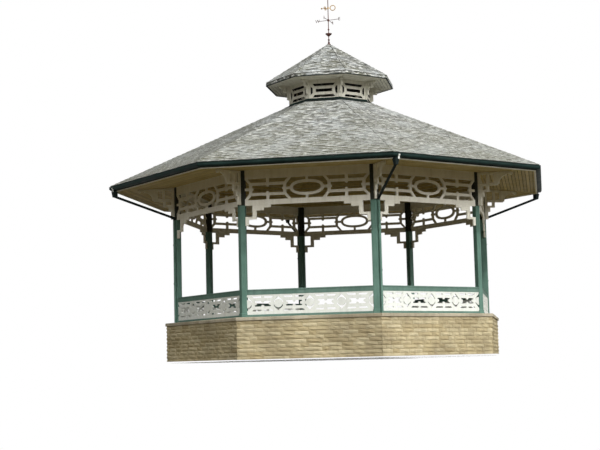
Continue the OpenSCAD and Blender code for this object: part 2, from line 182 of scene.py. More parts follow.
def bevelled(obj: bpy.types.Object, width: float, test: Callable | None = None, segments: int = 1) -> None:
    """Bevels the edges of an object that pass a test on their two end points.

    Args:
        obj: The object.
        width: Width of the bevel.
        test: Takes the two end points. All edges without it.
        segments: Steps across the bevel.
    """
    edit(obj, Pick.EDGES, test)
    bpy.ops.mesh.bevel(offset=width, segments=segments, affect="EDGES")
    done()


def arrayed(obj: bpy.types.Object, count: int, step: Iterable[float]) -> None:
    """Repeats an object a number of times with a fixed step.

    Args:
        obj: The object.
        count: How many there are in the end.
        step: The way from each to the next.
    """
    only(obj)
    modifier = obj.modifiers.new("Array", "ARRAY")
    modifier.count = count
    modifier.use_relative_offset = False
    modifier.use_constant_offset = True
    modifier.constant_offset_displace = tuple(step)
    bpy.ops.object.modifier_apply(modifier=modifier.name)


def cut(obj: bpy.types.Object, place: Iterable[float], outward: Iterable[float]) -> None:
    """Cuts off what lies on the outward side of a plane, and closes the cut.

    Args:
        obj: The object.
        place: A point on the plane.
        outward: The side that goes.
    """
    edit(obj, Pick.FACES)
    bpy.ops.mesh.bisect(
        plane_co=tuple(place), plane_no=tuple(outward), use_fill=True, clear_outer=True, threshold=1e-5
    )
    done()


def mitred(obj: bpy.types.Object, gap: float = 0.001) -> None:
    """Cuts a piece of the front bay to the two planes through its corners, a gap short of each.

    Args:
        obj: The piece.
        gap: How far short of each plane it ends.
    """
    for side in (-1, 1):
        outward = Vector((side * math.cos(HALF_TURN), math.sin(HALF_TURN), 0))
        cut(obj, -outward * gap, outward)


def moved(obj: bpy.types.Object, matrix: Matrix) -> bpy.types.Object:
    """Moves an object by a matrix and keeps its place in its mesh.

    Args:
        obj: The object.
        matrix: The move.

    Returns:
        The same object.
    """
    obj.data.transform(matrix)
    obj.data.update()
    return obj


def copied(obj: bpy.types.Object, matrix: Matrix) -> bpy.types.Object:
    """Copies an object with a mesh of its own, and moves the copy by a matrix.

    Args:
        obj: The object.
        matrix: The move.

    Returns:
        The copy.
    """
    twin = obj.copy()
    twin.data = obj.data.copy()
    bpy.context.scene.collection.objects.link(twin)
    return moved(twin, matrix)


def joined(name: str, parts: list[bpy.types.Object]) -> bpy.types.Object:
    """Joins objects into one and names it.

    Args:
        name: Its name.
        parts: The objects.

    Returns:
        The joined object.
    """
    only(*parts)
    if len(parts) > 1:
        bpy.ops.object.join()
    obj = bpy.context.object
    obj.name = obj.data.name = name
    return obj


def moulding(name: str, outline: list[tuple[float, float]], half: float) -> bpy.types.Object:
    """Draws a moulding from its section, with x along it.

    Args:
        name: Name of the new object.
        outline: Corners of the section in turn, each a distance from the centre across the flats and a height.
        half: Half its length.

    Returns:
        The new object.
    """
    bpy.ops.mesh.primitive_circle_add(vertices=len(outline), radius=1, fill_type="NGON")
    obj = bpy.context.object
    obj.name = obj.data.name = name
    set_points(obj, np.array([(-half, -flat, z) for flat, z in outline]))
    edit(obj, Pick.FACES)
    bpy.ops.mesh.extrude_region_move(TRANSFORM_OT_translate={"value": (2 * half, 0, 0)})
    bpy.ops.mesh.select_all(action="SELECT")
    bpy.ops.mesh.normals_make_consistent(inside=False)
    done()
    return obj


def skin(line: list[tuple[float, float]], inner: float, outer: float) -> list[tuple[float, float]]:
    """Gives the section of a strip that lies along a line.

    Args:
        line: Points of the line in turn, with the free side on the right of its way.
        inner: How far the strip's inner side stands off the line.
        outer: How far its outer side does.

    Returns:
        Corners of the section.
    """
    rows = np.array(line)
    along = np.gradient(rows, axis=0)
    along /= np.linalg.norm(along, axis=1, keepdims=True)
    free = np.c_[along[:, 1], -along[:, 0]]
    both = np.concatenate([rows + free * outer, (rows + free * inner)[::-1]])
    return [(float(a), float(b)) for a, b in both]


def bay_turn(bay: float) -> Matrix:
    """Gives the turn from the front bay to another, counted anticlockwise."""
    return Matrix.Rotation(bay * TURN, 4, "Z")


def round_all(name: str, obj: bpy.types.Object, bays: Iterable[float]) -> bpy.types.Object:
    """Copies a piece of the front bay to some bays and joins the copies.

    Args:
        name: Name of the joined piece.
        obj: The piece, which is used up.
        bays: The bays that get a copy.

    Returns:
        The joined piece.
    """
    copies = [copied(obj, bay_turn(bay)) for bay in bays]
    bpy.data.objects.remove(obj)
    return joined(name, copies)


def crisp(obj: bpy.types.Object, angle: float = 35) -> None:
    """Smooths the shading over all but the sharp edges."""
    only(obj)
    bpy.ops.object.shade_smooth_by_angle(angle=math.radians(angle))


def marked(obj: bpy.types.Object, name: str, values: np.ndarray) -> None:
    """Writes a number on each point of a mesh, for a material to read."""
    attribute = obj.data.attributes.get(name) or obj.data.attributes.new(name, "FLOAT", "POINT")
    attribute.data.foreach_set("value", values.astype(np.float32))


def toned(obj: bpy.types.Object, tones: np.ndarray) -> None:
    """Gives each point of a mesh the tone of the stone, slate or board that it belongs to."""
    marked(obj, TONE, tones)


def points(obj: bpy.types.Object) -> np.ndarray:
    """Reads the points of a mesh as rows of x, y and z.

    Args:
        obj: The object.

    Returns:
        The rows.
    """
    flat = np.zeros(len(obj.data.vertices) * 3, np.float32)
    obj.data.vertices.foreach_get("co", flat)
    return flat.reshape(-1, 3).astype(float)


def set_points(obj: bpy.types.Object, rows: np.ndarray) -> None:
    """Writes the points of a mesh."""
    obj.data.vertices.foreach_set("co", rows.astype(np.float32).ravel())
    obj.data.update()


def ring_corner(node: bpy.types.Object, outer: bool, upper: bool) -> tuple[float, float]:
    """Finds a corner of a ring's section in the front bay.

    Args:
        node: A CAD node made of eight mitred lengths.
        outer: Whether the corner is on the outer side.
        upper: Whether it is the upper one there.

    Returns:
        Distance from the centre across the flats, and height.
    """
    rows = points(node)
    front = rows[np.abs(rows[:, 0]) < -rows[:, 1] * math.tan(HALF_TURN) + 0.002]
    flats = -front[:, 1]
    edge = flats.max() if outer else flats.min()
    near = front[np.abs(flats - edge) < NEAR][:, 2]
    return float(edge), float(near.max() if upper else near.min())


def pitched(roof: bpy.types.Object) -> tuple[float, float, float]:
    """Measures the slope of a roof.

    Args:
        roof: A CAD node made of eight mitred slopes.

    Returns:
        Distance from the centre to the eave, its height, and the pitch in radians.
    """
    eave, eave_z = ring_corner(roof, True, True)
    top, top_z = ring_corner(roof, False, True)
    return eave, eave_z, math.atan2(top_z - eave_z, eave - top)


# Shader tools


class Graph:
    """Places and links the nodes of one material, world or shader group."""

    def __init__(self, tree: bpy.types.NodeTree) -> None:
        """Clears a node tree and starts from nothing."""
        self.tree = tree
        tree.nodes.clear()

    def add(self, kind: str, values: dict | None = None, **settings: object) -> bpy.types.Node:
        """Adds a node.

        Args:
            kind: Blender's name of the node type, without the ShaderNode before it.
            values: Values or outputs of other nodes for its inputs, by name or number.
            **settings: Properties of the node.

        Returns:
            The new node.
        """
        node = self.tree.nodes.new(kind if kind.startswith("Node") else "ShaderNode" + kind)
        for key, value in settings.items():
            setattr(node, key, value)
        for key, value in (values or {}).items():
            if isinstance(value, bpy.types.NodeSocket):
                self.tree.links.new(value, node.inputs[key])
            else:
                node.inputs[key].default_value = value
        return node

    def maths(self, operation: str, *values: object) -> bpy.types.NodeSocket:
        """Adds a Math node and gives its output."""
        node = self.add("Math", dict(enumerate(values)), operation=operation)
        return node.outputs[0]

    def band(
        self, value: object, low: float, high: float, start: object = 0.0, end: object = 1.0
    ) -> bpy.types.NodeSocket:
        """Maps a range of a value to another, clamped."""
        node = self.add("MapRange", {0: value, 1: low, 2: high, 3: start, 4: end}, clamp=True)
        return node.outputs[0]

    def mix(self, amount: object, first: object, second: object) -> bpy.types.NodeSocket:
        """Mixes two colours."""
        return self.add("Mix", {0: amount, 6: first, 7: second}, data_type="RGBA").outputs[2]

    def veil(
        self, mask: object, share: float, colour: object, over: tuple[float, float, float, float]
    ) -> bpy.types.NodeSocket:
        """Lays a share of another colour over a colour, where a mask says."""
        return self.mix(self.maths("MULTIPLY", mask, share), colour, over)

    def noise(self, vector: object, scale: float, detail: float = 3.0, roughness: float = 0.55) -> bpy.types.NodeSocket:
        """Adds a Noise Texture and gives its value."""
        values = {"Vector": vector, "Scale": scale, "Detail": detail, "Roughness": roughness}
        return self.add("TexNoise", values).outputs["Fac"]

    def stretched(self, vector: object, scale: tuple[float, float, float]) -> bpy.types.NodeSocket:
        """Scales a vector differently along each axis."""
        return self.add("Mapping", {"Vector": vector, "Scale": scale}).outputs[0]

    def place(self) -> bpy.types.NodeSocket:
        """Gives Object coordinates."""
        return self.add("TexCoord").outputs["Object"]


class Effects:
    """Shader groups that several finishes share, each built once."""

    def __init__(self) -> None:
        """Builds the groups."""
        self.weather = self._group("weather", ["Patch Scale", "Streak Scale"], ["Patches", "Streaks", "Specks"])
        self._fill_weather()
        self.grain = self._group("brushed grain", ["Scale"], ["Height"])
        self._fill_grain()
        self.stone = self._group("stone grain", ["Scale"], ["Height", "Pits", "Veins"])
        self._fill_stone()

    def _group(self, name: str, inputs: list[str], outputs: list[str]) -> bpy.types.NodeTree:
        """Makes an empty group with a Vector input, some number inputs and some number outputs.

        Args:
            name: Name of the group.
            inputs: Names of its number inputs.
            outputs: Names of its outputs.

        Returns:
            The group's node tree.
        """
        tree = bpy.data.node_groups.new(name, "ShaderNodeTree")
        tree.interface.new_socket("Vector", in_out="INPUT", socket_type="NodeSocketVector")
        for each in inputs:
            tree.interface.new_socket(each, in_out="INPUT", socket_type="NodeSocketFloat")
        for each in outputs:
            tree.interface.new_socket(each, in_out="OUTPUT", socket_type="NodeSocketFloat")
        return tree

    def _fill_weather(self) -> None:
        """Large soft patches, streaks that run down, and fine specks."""
        graph = Graph(self.weather)
        given = graph.add("NodeGroupInput").outputs
        patches = graph.noise(given["Vector"], given["Patch Scale"], 4.0, 0.6)
        thin = graph.stretched(given["Vector"], (1.0, 1.0, 0.07))
        streaks = graph.noise(thin, given["Streak Scale"], 3.0, 0.6)
        specks = graph.noise(given["Vector"], 70.0, 2.0, 0.5)
        ends = {
            "Patches": graph.band(patches, 0.38, 0.68),
            "Streaks": graph.band(streaks, 0.45, 0.75),
            "Specks": graph.band(specks, 0.52, 0.75),
        }
        graph.add("NodeGroupOutput", ends)

    def _fill_grain(self) -> None:
        """Brush marks and timber grain under paint, as a height."""
        graph = Graph(self.grain)
        given = graph.add("NodeGroupInput").outputs
        upright = graph.noise(graph.stretched(given["Vector"], (1.0, 1.0, 0.06)), given["Scale"], 3.0, 0.5)
        level = graph.noise(graph.stretched(given["Vector"], (0.06, 0.06, 1.0)), given["Scale"], 3.0, 0.5)
        graph.add("NodeGroupOutput", {"Height": graph.maths("ADD", upright, level)})

    def _fill_stone(self) -> None:
        """Rough height, small pits and faint bedding of a sandstone or a slate."""
        graph = Graph(self.stone)
        given = graph.add("NodeGroupInput").outputs
        rough = graph.noise(given["Vector"], given["Scale"], 6.0, 0.65)
        fine = graph.noise(given["Vector"], graph.maths("MULTIPLY", given["Scale"], 6.0), 3.0, 0.5)
        bedding = graph.noise(graph.stretched(given["Vector"], (0.4, 0.4, 4.0)), given["Scale"], 3.0, 0.5)
        ends = {
            "Height": graph.maths("ADD", rough, graph.maths("MULTIPLY", fine, 0.3)),
            "Pits": graph.band(fine, 0.60, 0.78),
            "Veins": graph.band(bedding, 0.42, 0.66),
        }
        graph.add("NodeGroupOutput", ends)

    def use(self, graph: Graph, group: bpy.types.NodeTree, **values: object) -> bpy.types.NodeOutputs:
        """Places a group in a material.

        Args:
            graph: The material's graph.
            group: The group.
            **values: Its inputs, with an underscore for a space.

        Returns:
            The group node's outputs.
        """
        node = graph.tree.nodes.new("ShaderNodeGroup")
        node.node_tree = group
        for key, value in values.items():
            socket = node.inputs[key.replace("_", " ")]
            if isinstance(value, bpy.types.NodeSocket):
                graph.tree.links.new(value, socket)
            else:
                socket.default_value = value
        return node.outputs


class Finish:
    """Common part of the finishes: a material with one Principled BSDF."""

    name: str

    def build(self, effects: Effects) -> bpy.types.Material:
        """Makes the material.

        Args:
            effects: The shared shader groups.

        Returns:
            The material.
        """
        material = bpy.data.materials.new(self.name)
        material.use_nodes = True
        graph = Graph(material.node_tree)
        self.shade(graph, effects, graph.place())
        return material

    def shade(self, graph: Graph, effects: Effects, place: bpy.types.NodeSocket) -> None:
        """Adds the nodes of one kind of finish, and ends with end()."""
        raise NotImplementedError

    def end(
        self,
        graph: Graph,
        colour: object,
        roughness: object,
        height: bpy.types.NodeSocket,
        depth: float,
        **constants: float,
    ) -> None:
        """Adds the bump, the shader and the output.

        Args:
            graph: The material's graph.
            colour: Output or value for Base Color.
            roughness: Output or value for Roughness.
            height: Height of the bump.
            depth: Distance of the bump in metres.
            **constants: Values for other sockets of the shader, with an underscore for a space.
        """
        bump = graph.add("Bump", {"Height": height, "Distance": depth, "Strength": 1.0})
        values = {"Base Color": colour, "Roughness": roughness, "Normal": bump.outputs[0]}
        values.update({key.replace("_", " "): value for key, value in constants.items()})
        shader = graph.add("BsdfPrincipled", values)
        graph.add("OutputMaterial", {"Surface": shader.outputs[0]})


@dataclass(frozen=True)
class Paint(Finish):
    """Oil paint on timber or iron, with faded patches, dirty streaks and small chips, and where asked painted shade:
    dark recesses, and dark heads above a height.
    """

    name: str
    colour: Colour
    faded: Colour
    dirt: Colour
    fading: float = 0.5
    streaking: float = 0.35
    shades: float = 0.0
    roughness: float = 0.55
    shine: float = 0.15
    # Dark colour for marked recesses and insides: painted shade.
    painted_recess_shade: Colour | None = None
    # Dark colour above a height, and the width of its fade: painted shade at the posts' heads under the eaves.
    painted_shade_head: Colour | None = None
    head_z: float = 0.0
    painted_shade_fade: float = 0.004
    specking: float = 0.25
    dulling: float = 0.2
    relief: float = 0.0012

    def shade(self, graph: Graph, effects: Effects, place: bpy.types.NodeSocket) -> None:
        """Adds the nodes.

        Args:
            graph: The material's graph.
            effects: The shared shader groups.
            place: Object coordinates.
        """
        worn = effects.use(graph, effects.weather, Vector=place, Patch_Scale=1.7, Streak_Scale=9.0)
        marks = effects.use(graph, effects.grain, Vector=place, Scale=38.0)
        colour = graph.veil(worn["Patches"], self.fading, linear(self.colour), linear(self.faded))
        colour = graph.veil(worn["Streaks"], self.streaking, colour, linear(self.dirt))
        if self.shades:
            tone = graph.add("Attribute", attribute_name=TONE).outputs["Fac"]
            colour = graph.mix(graph.band(tone, 0.0, 1.0, 0.0, self.shades), colour, linear(self.dirt))
        colour = graph.veil(worn["Specks"], self.specking, colour, linear(self.dirt))
        # Painted shade: marked recesses and insides turn dark.
        if self.painted_recess_shade:
            inside = graph.add("Attribute", attribute_name=PAINTED_RECESS_SHADE).outputs["Fac"]
            colour = graph.mix(inside, colour, linear(self.painted_recess_shade))
        # Painted shade: above head_z the paint turns dark, for the deep shade at the heads of the posts under the
        # eaves.
        if self.painted_shade_head:
            height = graph.add("SeparateXYZ", {0: place}).outputs["Z"]
            above = graph.band(height, self.head_z, self.head_z + self.painted_shade_fade)
            colour = graph.mix(above, colour, linear(self.painted_shade_head))
        rough = graph.band(worn["Patches"], 0.0, 1.0, self.roughness, min(1.0, self.roughness + self.dulling))
        self.end(graph, colour, rough, marks["Height"], self.relief, Specular_IOR_Level=self.shine)


@dataclass(frozen=True)
class Sandstone(Finish):
    """Weathered sandstone whose stones differ in tone, darker where water and soot gather."""

    name: str
    colour: Colour
    pale: Colour
    stain: Colour
    relief: float = 0.008
    staining: float = 0.5
    streak_share: float = 0.6
    veining: float = 0.35
    pitting: float = 0.3
    roughness: tuple[float, float] = (0.82, 0.95)
    shine: float = 0.25

    def shade(self, graph: Graph, effects: Effects, place: bpy.types.NodeSocket) -> None:
        """Adds the nodes.

        Args:
            graph: The material's graph.
            effects: The shared shader groups.
            place: Object coordinates.
        """
        tone = graph.add("Attribute", attribute_name=TONE).outputs["Fac"]
        worn = effects.use(graph, effects.weather, Vector=place, Patch_Scale=1.1, Streak_Scale=6.0)
        grain = effects.use(graph, effects.stone, Vector=place, Scale=13.0)
        colour = graph.mix(tone, linear(self.colour), linear(self.pale))
        colour = graph.veil(grain["Veins"], self.veining, colour, linear(self.colour))
        colour = graph.veil(worn["Patches"], self.staining, colour, linear(self.stain))
        colour = graph.veil(worn["Streaks"], self.staining * self.streak_share, colour, linear(self.stain))
        colour = graph.veil(grain["Pits"], self.pitting, colour, linear(self.stain))
        rough = graph.band(worn["Patches"], 0.0, 1.0, *self.roughness)
        self.end(graph, colour, rough, grain["Height"], self.relief, Specular_IOR_Level=self.shine)


@dataclass(frozen=True)
class Slating(Finish):
    """Riven slates in several greys, with olive growth and pale lichen, a painted shadow under each course's tail and a
    painted highlight along each tail.
    """

    name: str
    dark: Colour
    mid: Colour
    light: Colour
    growth: Colour
    lichen: Colour
    damp_z: tuple[float, float] = (5.30, 7.20)
    fine_growth: tuple[float, float] = (0.40, 0.95)
    drift_share: float = 0.50
    lichen_share: float = 0.80
    dusk_share: float = 0.75
    damp_share: float = 0.38
    pitting: float = 0.4
    lap_shade: float = 0.80
    painted_tail_highlight: float = 0.65
    roughness: float = 0.78
    relief: float = 0.004
    shine: float = 0.3

    def shade(self, graph: Graph, effects: Effects, place: bpy.types.NodeSocket) -> None:
        """Adds the nodes.

        Args:
            graph: The material's graph.
            effects: The shared shader groups.
            place: Object coordinates.
        """
        tone = graph.add("Attribute", attribute_name=TONE).outputs["Fac"]
        tail = graph.add("Attribute", attribute_name=TAIL).outputs["Fac"]
        grain = effects.use(graph, effects.stone, Vector=place, Scale=16.0)
        worn = effects.use(graph, effects.weather, Vector=place, Patch_Scale=0.8, Streak_Scale=4.0)
        fine = effects.use(graph, effects.weather, Vector=place, Patch_Scale=11.0, Streak_Scale=40.0)
        level = graph.stretched(place, (1.0, 1.0, 5.0))
        drift = graph.noise(graph.stretched(place, (1.0, 1.0, 2.0)), 0.75, 4.0, 0.7)
        pale = graph.band(graph.noise(level, 5.0, 2.0, 0.6), 0.53, 0.60)
        dusk = graph.band(graph.noise(level, 6.5, 2.0, 0.6), 0.47, 0.40)
        damp = graph.band(graph.add("SeparateXYZ", {0: place}).outputs["Z"], *self.damp_z, 1.0, 0.0)
        colour = graph.mix(graph.band(tone, 0.0, 0.45), linear(self.dark), linear(self.mid))
        colour = graph.mix(graph.band(tone, 0.5, 1.0), colour, linear(self.light))
        patches = graph.maths("MAXIMUM", worn["Patches"], damp)
        growth = graph.maths("MULTIPLY", patches, graph.band(fine["Patches"], 0.0, 1.0, *self.fine_growth))
        colour = graph.mix(growth, colour, linear(self.growth))
        colour = graph.mix(graph.band(drift, 0.51, 0.60, 0.0, self.drift_share), colour, linear(self.light))
        colour = graph.mix(graph.band(drift, 0.50, 0.42, 0.0, self.drift_share), colour, linear(self.growth))
        colour = graph.veil(pale, self.lichen_share, colour, linear(self.lichen))
        colour = graph.veil(dusk, self.dusk_share, colour, linear(self.dark))
        colour = graph.veil(damp, self.damp_share, colour, linear(self.growth))
        colour = graph.veil(grain["Pits"], self.pitting, colour, linear(self.dark))
        # Painted shadow just under the tail of the course above, and a painted highlight along each slate's tail.
        colour = graph.mix(graph.band(tail, 0.46, 0.34, 0.0, self.lap_shade), colour, linear(self.dark))
        colour = graph.mix(graph.band(tail, 0.86, 0.96, 0.0, self.painted_tail_highlight), colour, linear(self.lichen))
        self.end(graph, colour, self.roughness, grain["Height"], self.relief, Specular_IOR_Level=self.shine)


@dataclass(frozen=True)
class Metal(Finish):
    """Bare or rusted metal with dull and bright patches."""

    name: str
    colour: Colour
    dull: Colour
    metallic: float
    roughness: float = 0.45
    dull_roughness: float = 0.8
    specking: float = 0.5
    relief: float = 0.0006

    def shade(self, graph: Graph, effects: Effects, place: bpy.types.NodeSocket) -> None:
        """Adds the nodes.

        Args:
            graph: The material's graph.
            effects: The shared shader groups.
            place: Object coordinates.
        """
        worn = effects.use(graph, effects.weather, Vector=place, Patch_Scale=9.0, Streak_Scale=30.0)
        grain = effects.use(graph, effects.stone, Vector=place, Scale=60.0)
        colour = graph.mix(worn["Patches"], linear(self.colour), linear(self.dull))
        colour = graph.veil(worn["Specks"], self.specking, colour, linear(self.dull))
        rough = graph.band(worn["Patches"], 0.0, 1.0, self.roughness, self.dull_roughness)
        self.end(graph, colour, rough, grain["Height"], self.relief, Metallic=self.metallic)


@dataclass
class Palette:
    """Every finish of the bandstand as a Blender material, by the record's slot."""

    effects: Effects
    made: dict[Slot, bpy.types.Material] = field(default_factory=dict)
    finishes: dict[Slot, Finish] = field(default_factory=lambda: {
        Slot.PLINTH: Sandstone("plinth sandstone", (176, 160, 122), (206, 193, 158), (104, 94, 74), 0.010, 0.45),
        Slot.COPING: Sandstone("coping sandstone", (168, 156, 130), (200, 190, 168), (98, 92, 80), 0.004, 0.5),
        Slot.DECK: Sandstone("deck flags", (124, 119, 106), (150, 144, 130), (88, 85, 77), 0.003, 0.4),
        # The post paint turns dark above the frieze's foot: painted shade at the heads of the posts.
        Slot.POST: Paint(
            "post green", (90, 122, 109), (115, 147, 134), (48, 64, 56), 0.55, 0.3, painted_shade_head=(44, 46, 36), head_z=4.353
        ),
        Slot.RAIL: Paint("rail green", (92, 120, 108), (117, 143, 132), (54, 70, 62), 0.55, 0.3),
        Slot.PANEL: Paint("railing white", (226, 228, 221), (214, 216, 208), (154, 152, 138), 0.5, 0.2),
        Slot.FRIEZE: Paint("frieze cream", (246, 243, 230), (240, 235, 216), (176, 166, 136), 0.5, 0.2),
        Slot.BOARDS: Paint("board cream", (222, 203, 142), (206, 187, 128), (116, 101, 62), 0.5, 0.25, 0.35),
        Slot.GUTTER: Paint("gutter green", (22, 40, 37), (46, 68, 63), (14, 22, 20), 0.5, 0.3, 0.0, 0.5, 0.12),
        Slot.FASCIA: Paint("fascia green", (20, 30, 28), (32, 46, 43), (13, 18, 16), 0.5, 0.3),
        Slot.SLATES: Slating(
            "weathered slate", (34, 35, 32), (128, 130, 124), (202, 207, 208), (102, 101, 74), (244, 245, 239)
        ),
        # The lantern paint darkens the panels' slots and insides: painted shade.
        Slot.LANTERN: Paint(
            "lantern cream", (226, 223, 208), (208, 204, 188), (128, 122, 104), 0.5, 0.4, painted_recess_shade=(24, 24, 21)
        ),
        Slot.IRON: Metal("rusted iron", (112, 66, 54), (70, 50, 50), 0.35, 0.6),
        Slot.GILT: Metal("old gilding", (190, 150, 70), (140, 106, 52), 0.8, 0.4),
    })

    def material(self, slot: Slot) -> bpy.types.Material:
        """Gives the material of a slot, and makes it the first time.

        Args:
            slot: The slot.

        Returns:
            The material.
        """
        if slot not in self.made:
            self.made[slot] = self.finishes[slot].build(self.effects)
        return self.made[slot]

    def dress(self, obj: bpy.types.Object, slot: Slot) -> None:
        """Puts a finish on a whole object."""
        obj.data.materials.clear()
        obj.data.materials.append(self.material(slot))


@dataclass
class Workshop:
    """What every sub-assembly needs: the frame's nodes and the palette."""

    nodes: dict[str, bpy.types.Object]
    palette: Palette

    def node(self, name: str) -> bpy.types.Object:
        """Gives a CAD node by name."""
        return self.nodes[name]

    def paint(self, slot: Slot, *names: str) -> None:
        """Puts a finish on CAD nodes that keep showing."""
        for name in names:
            self.palette.dress(self.nodes[name], slot)

    def report(self, obj: bpy.types.Object, slot: Slot, body: str = STAND, stands_for: Iterable[str] = ()) -> None:
        """Dresses a finished piece, seats it on its body and logs it.

        Args:
            obj: The finished piece.
            slot: Its finish.
            body: The body that it moves with.
            stands_for: CAD nodes that it replaces.
        """
        self.palette.dress(obj, slot)
        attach(obj, body)
        if stands_for:
            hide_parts(*stands_for)
        triangles = sum(len(p.vertices) - 2 for p in obj.data.polygons)
        LOG.info("%s: %d triangles", obj.name, triangles)

    def merged(self, name: str, new_name: str) -> bpy.types.Object:
        """Copies a CAD node as a closed mesh.

        Args:
            name: The CAD node.
            new_name: Name of the copy.

        Returns:
            The copy, which belongs to nothing yet.
        """
        twin = copied(self.nodes[name], Matrix.Identity(4))
        twin.parent = None
        for key in list(twin.keys()):
            del twin[key]
        twin.name = twin.data.name = new_name
        edit(twin, Pick.POINTS)
        bpy.ops.mesh.remove_doubles(threshold=MERGE)
        done()
        bpy.ops.mesh.customdata_custom_splitnormals_clear()
        return twin

    def eased(self, name: str, slot: Slot, width: float = 0.004) -> bpy.types.Object:
        """Stands a copy of a CAD node in for it, with its sharp arrises taken off.

        Args:
            name: The CAD node.
            slot: The finish of the copy.
            width: Width of the arris.

        Returns:
            The copy.
        """
        twin = self.merged(name, name + "_eased")
        edit(twin, Pick.FACES)
        bpy.ops.mesh.dissolve_limited(angle_limit=math.radians(1.0))
        done()
        modifier = twin.modifiers.new("Arris", "BEVEL")
        modifier.width = width
        modifier.segments = 1
        modifier.limit_method = "ANGLE"
        modifier.angle_limit = math.radians(50)
        modifier.use_clamp_overlap = True
        only(twin)
        bpy.ops.object.modifier_apply(modifier=modifier.name)
        crisp(twin)
        self.report(twin, slot, stands_for=[name])
        return twin


@dataclass
class Plinth:
    """Coursed plinth, coping stones, deck flags, and the steps with their walls."""

    shop: Workshop
    courses: int = 10
    stone_length: float = 0.37
    joint: float = 0.010
    bulge: float = 0.020
    proud: float = 0.006
    stagger: float = 0.3
    least_bulge: float = 0.4
    bed: float = 0.05
    coping_stones: int = 4
    flag: tuple[float, float] = (0.90, 0.60)
    flag_t: float = 0.05
    flag_gap: float = 0.008
    coping_gap: float = 0.006
    coping_nose: float = 0.018
    arris: float = 0.004
    step_count: int = 6
    step_stones: int = 3
    step_gap: float = 0.004
    step_nose: float = 0.012
    wall_shelf: float = 0.100
    wall_foot: float = 0.380
    seed: int = 11

    def build(self) -> None:
        """Builds and dresses the stonework."""
        self.shop.paint(Slot.PLINTH, "plinth", "step_walls")
        self.courses_of_stone()
        self.coping()
        self.flags()
        self.steps()
        self.step_wall_faces()

    def stone_sheet(self, name: str, width: float, height: float, seed: int) -> bpy.types.Object:
        """Lays rock-faced stones in courses on a plane, with x along it, z up and -y outwards.

        Args:
            name: Name of the sheet.
            width: Width that it covers, centred on x = 0.
            height: Height that it covers, from z = 0.
            seed: Seed of the differences between stones.

        Returns:
            The sheet, wider than asked for by a stone on each side.
        """
        course = height / self.courses
        half = self.joint / 2
        stone = block(name, (half, -self.proud, half), (self.stone_length - half, self.bed, course - half))
        edit(stone, Pick.FACES, lambda face: face.normal.y < -0.9)
        bpy.ops.mesh.subdivide(number_cuts=2)
        done()
        across = int(width / self.stone_length) + 4
        per_stone = len(stone.data.vertices)
        arrayed(stone, across, (self.stone_length, 0, 0))
        arrayed(stone, 2, (self.stone_length * 0.5, 0, course))
        arrayed(stone, (self.courses + 1) // 2, (0, 0, 2 * course))
        rng = np.random.default_rng(seed)
        rows = points(stone).reshape(-1, across, per_stone, 3)
        rows[..., 0] -= (across / 2 + 0.25) * self.stone_length
        layers, count = rows.shape[0], rows.shape[1]
        shift = rng.uniform(-self.stagger, self.stagger, (layers, count + 1)) * self.stone_length
        inside = self.template_side(stone, per_stone)
        rows[..., 0] += np.where(inside[None, None, :], shift[:, :-1, None], shift[:, 1:, None])
        middle = self.template_middle(stone, per_stone, course)
        push = rng.uniform(self.least_bulge, 1.0, (layers, count, per_stone)) * self.bulge
        rows[..., 1] -= np.where(middle[None, None, :], push, 0.0)
        set_points(stone, rows.reshape(-1, 3))
        tones = rng.uniform(0, 1, (layers, count, 1)) * np.ones((1, 1, per_stone))
        toned(stone, tones.ravel())
        cut(stone, (0, 0, height - 0.001), (0, 0, 1))
        return stone

    def template_side(self, stone: bpy.types.Object, per_stone: int) -> np.ndarray:
        """Says which points of the first stone lie in its left half."""
        first = points(stone)[:per_stone]
        return first[:, 0] < self.stone_length / 2

    def template_middle(self, stone: bpy.types.Object, per_stone: int, course: float) -> np.ndarray:
        """Says which points of the first stone lie inside its face, clear of the arrises.

        Args:
            stone: The sheet that starts with the stone.
            per_stone: How many points a stone has.
            course: Height of a course.

        Returns:
            True for each such point.
        """
        first = points(stone)[:per_stone]
        edge = self.joint
        across = (first[:, 0] > edge) & (first[:, 0] < self.stone_length - edge)
        up = (first[:, 2] > edge) & (first[:, 2] < course - edge)
        return across & up & (first[:, 1] < 0)

    def courses_of_stone(self) -> None:
        """Faces the plinth with rock-faced stones, bay by bay."""
        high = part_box("plinth")[1]
        flat = high.y
        bays = []
        for bay in range(SIDES):
            sheet = self.stone_sheet("plinth_face", 2 * flat * math.tan(HALF_TURN), high.z, self.seed + bay)
            moved(sheet, Matrix.Translation((0, -flat, 0)))
            mitred(sheet, 0.002)
            bays.append(moved(sheet, bay_turn(bay)))
        face = joined("plinth_stones", bays)
        self.shop.report(face, Slot.PLINTH)

    def coping(self) -> None:
        """Lays bevelled coping stones round the edge of the deck."""
        inner, low = ring_corner(self.shop.node("coping"), False, False)
        outer, _ = ring_corner(self.shop.node("coping"), True, False)
        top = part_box("coping")[1].z
        length = 2 * outer * math.tan(HALF_TURN) / self.coping_stones
        half_gap = self.coping_gap / 2
        stone = block("coping", (half_gap, -outer, low), (length - half_gap, -inner, top))
        front = -outer + NEAR
        bevelled(stone, self.coping_nose, lambda a, b: min(a.z, b.z) > top - NEAR and max(a.y, b.y) < front)
        bevelled(stone, self.arris, lambda a, b: min(a.z, b.z) > top - NEAR)
        arrayed(stone, self.coping_stones, (length, 0, 0))
        moved(stone, Matrix.Translation((-length * self.coping_stones / 2, 0, 0)))
        mitred(stone, 0.002)
        ring = round_all("coping_stones", stone, range(SIDES))
        rng = np.random.default_rng(self.seed + 20)
        shades = rng.uniform(0, 1, SIDES * self.coping_stones + 8)
        rows = points(ring)
        angle = np.arctan2(rows[:, 1], rows[:, 0]) / math.tau * SIDES * self.coping_stones
        toned(ring, shades[np.floor(angle).astype(int) % len(shades)])
        LOG.info("coping stones of %.2f m", length)
        self.shop.report(ring, Slot.COPING, stands_for=["coping"])

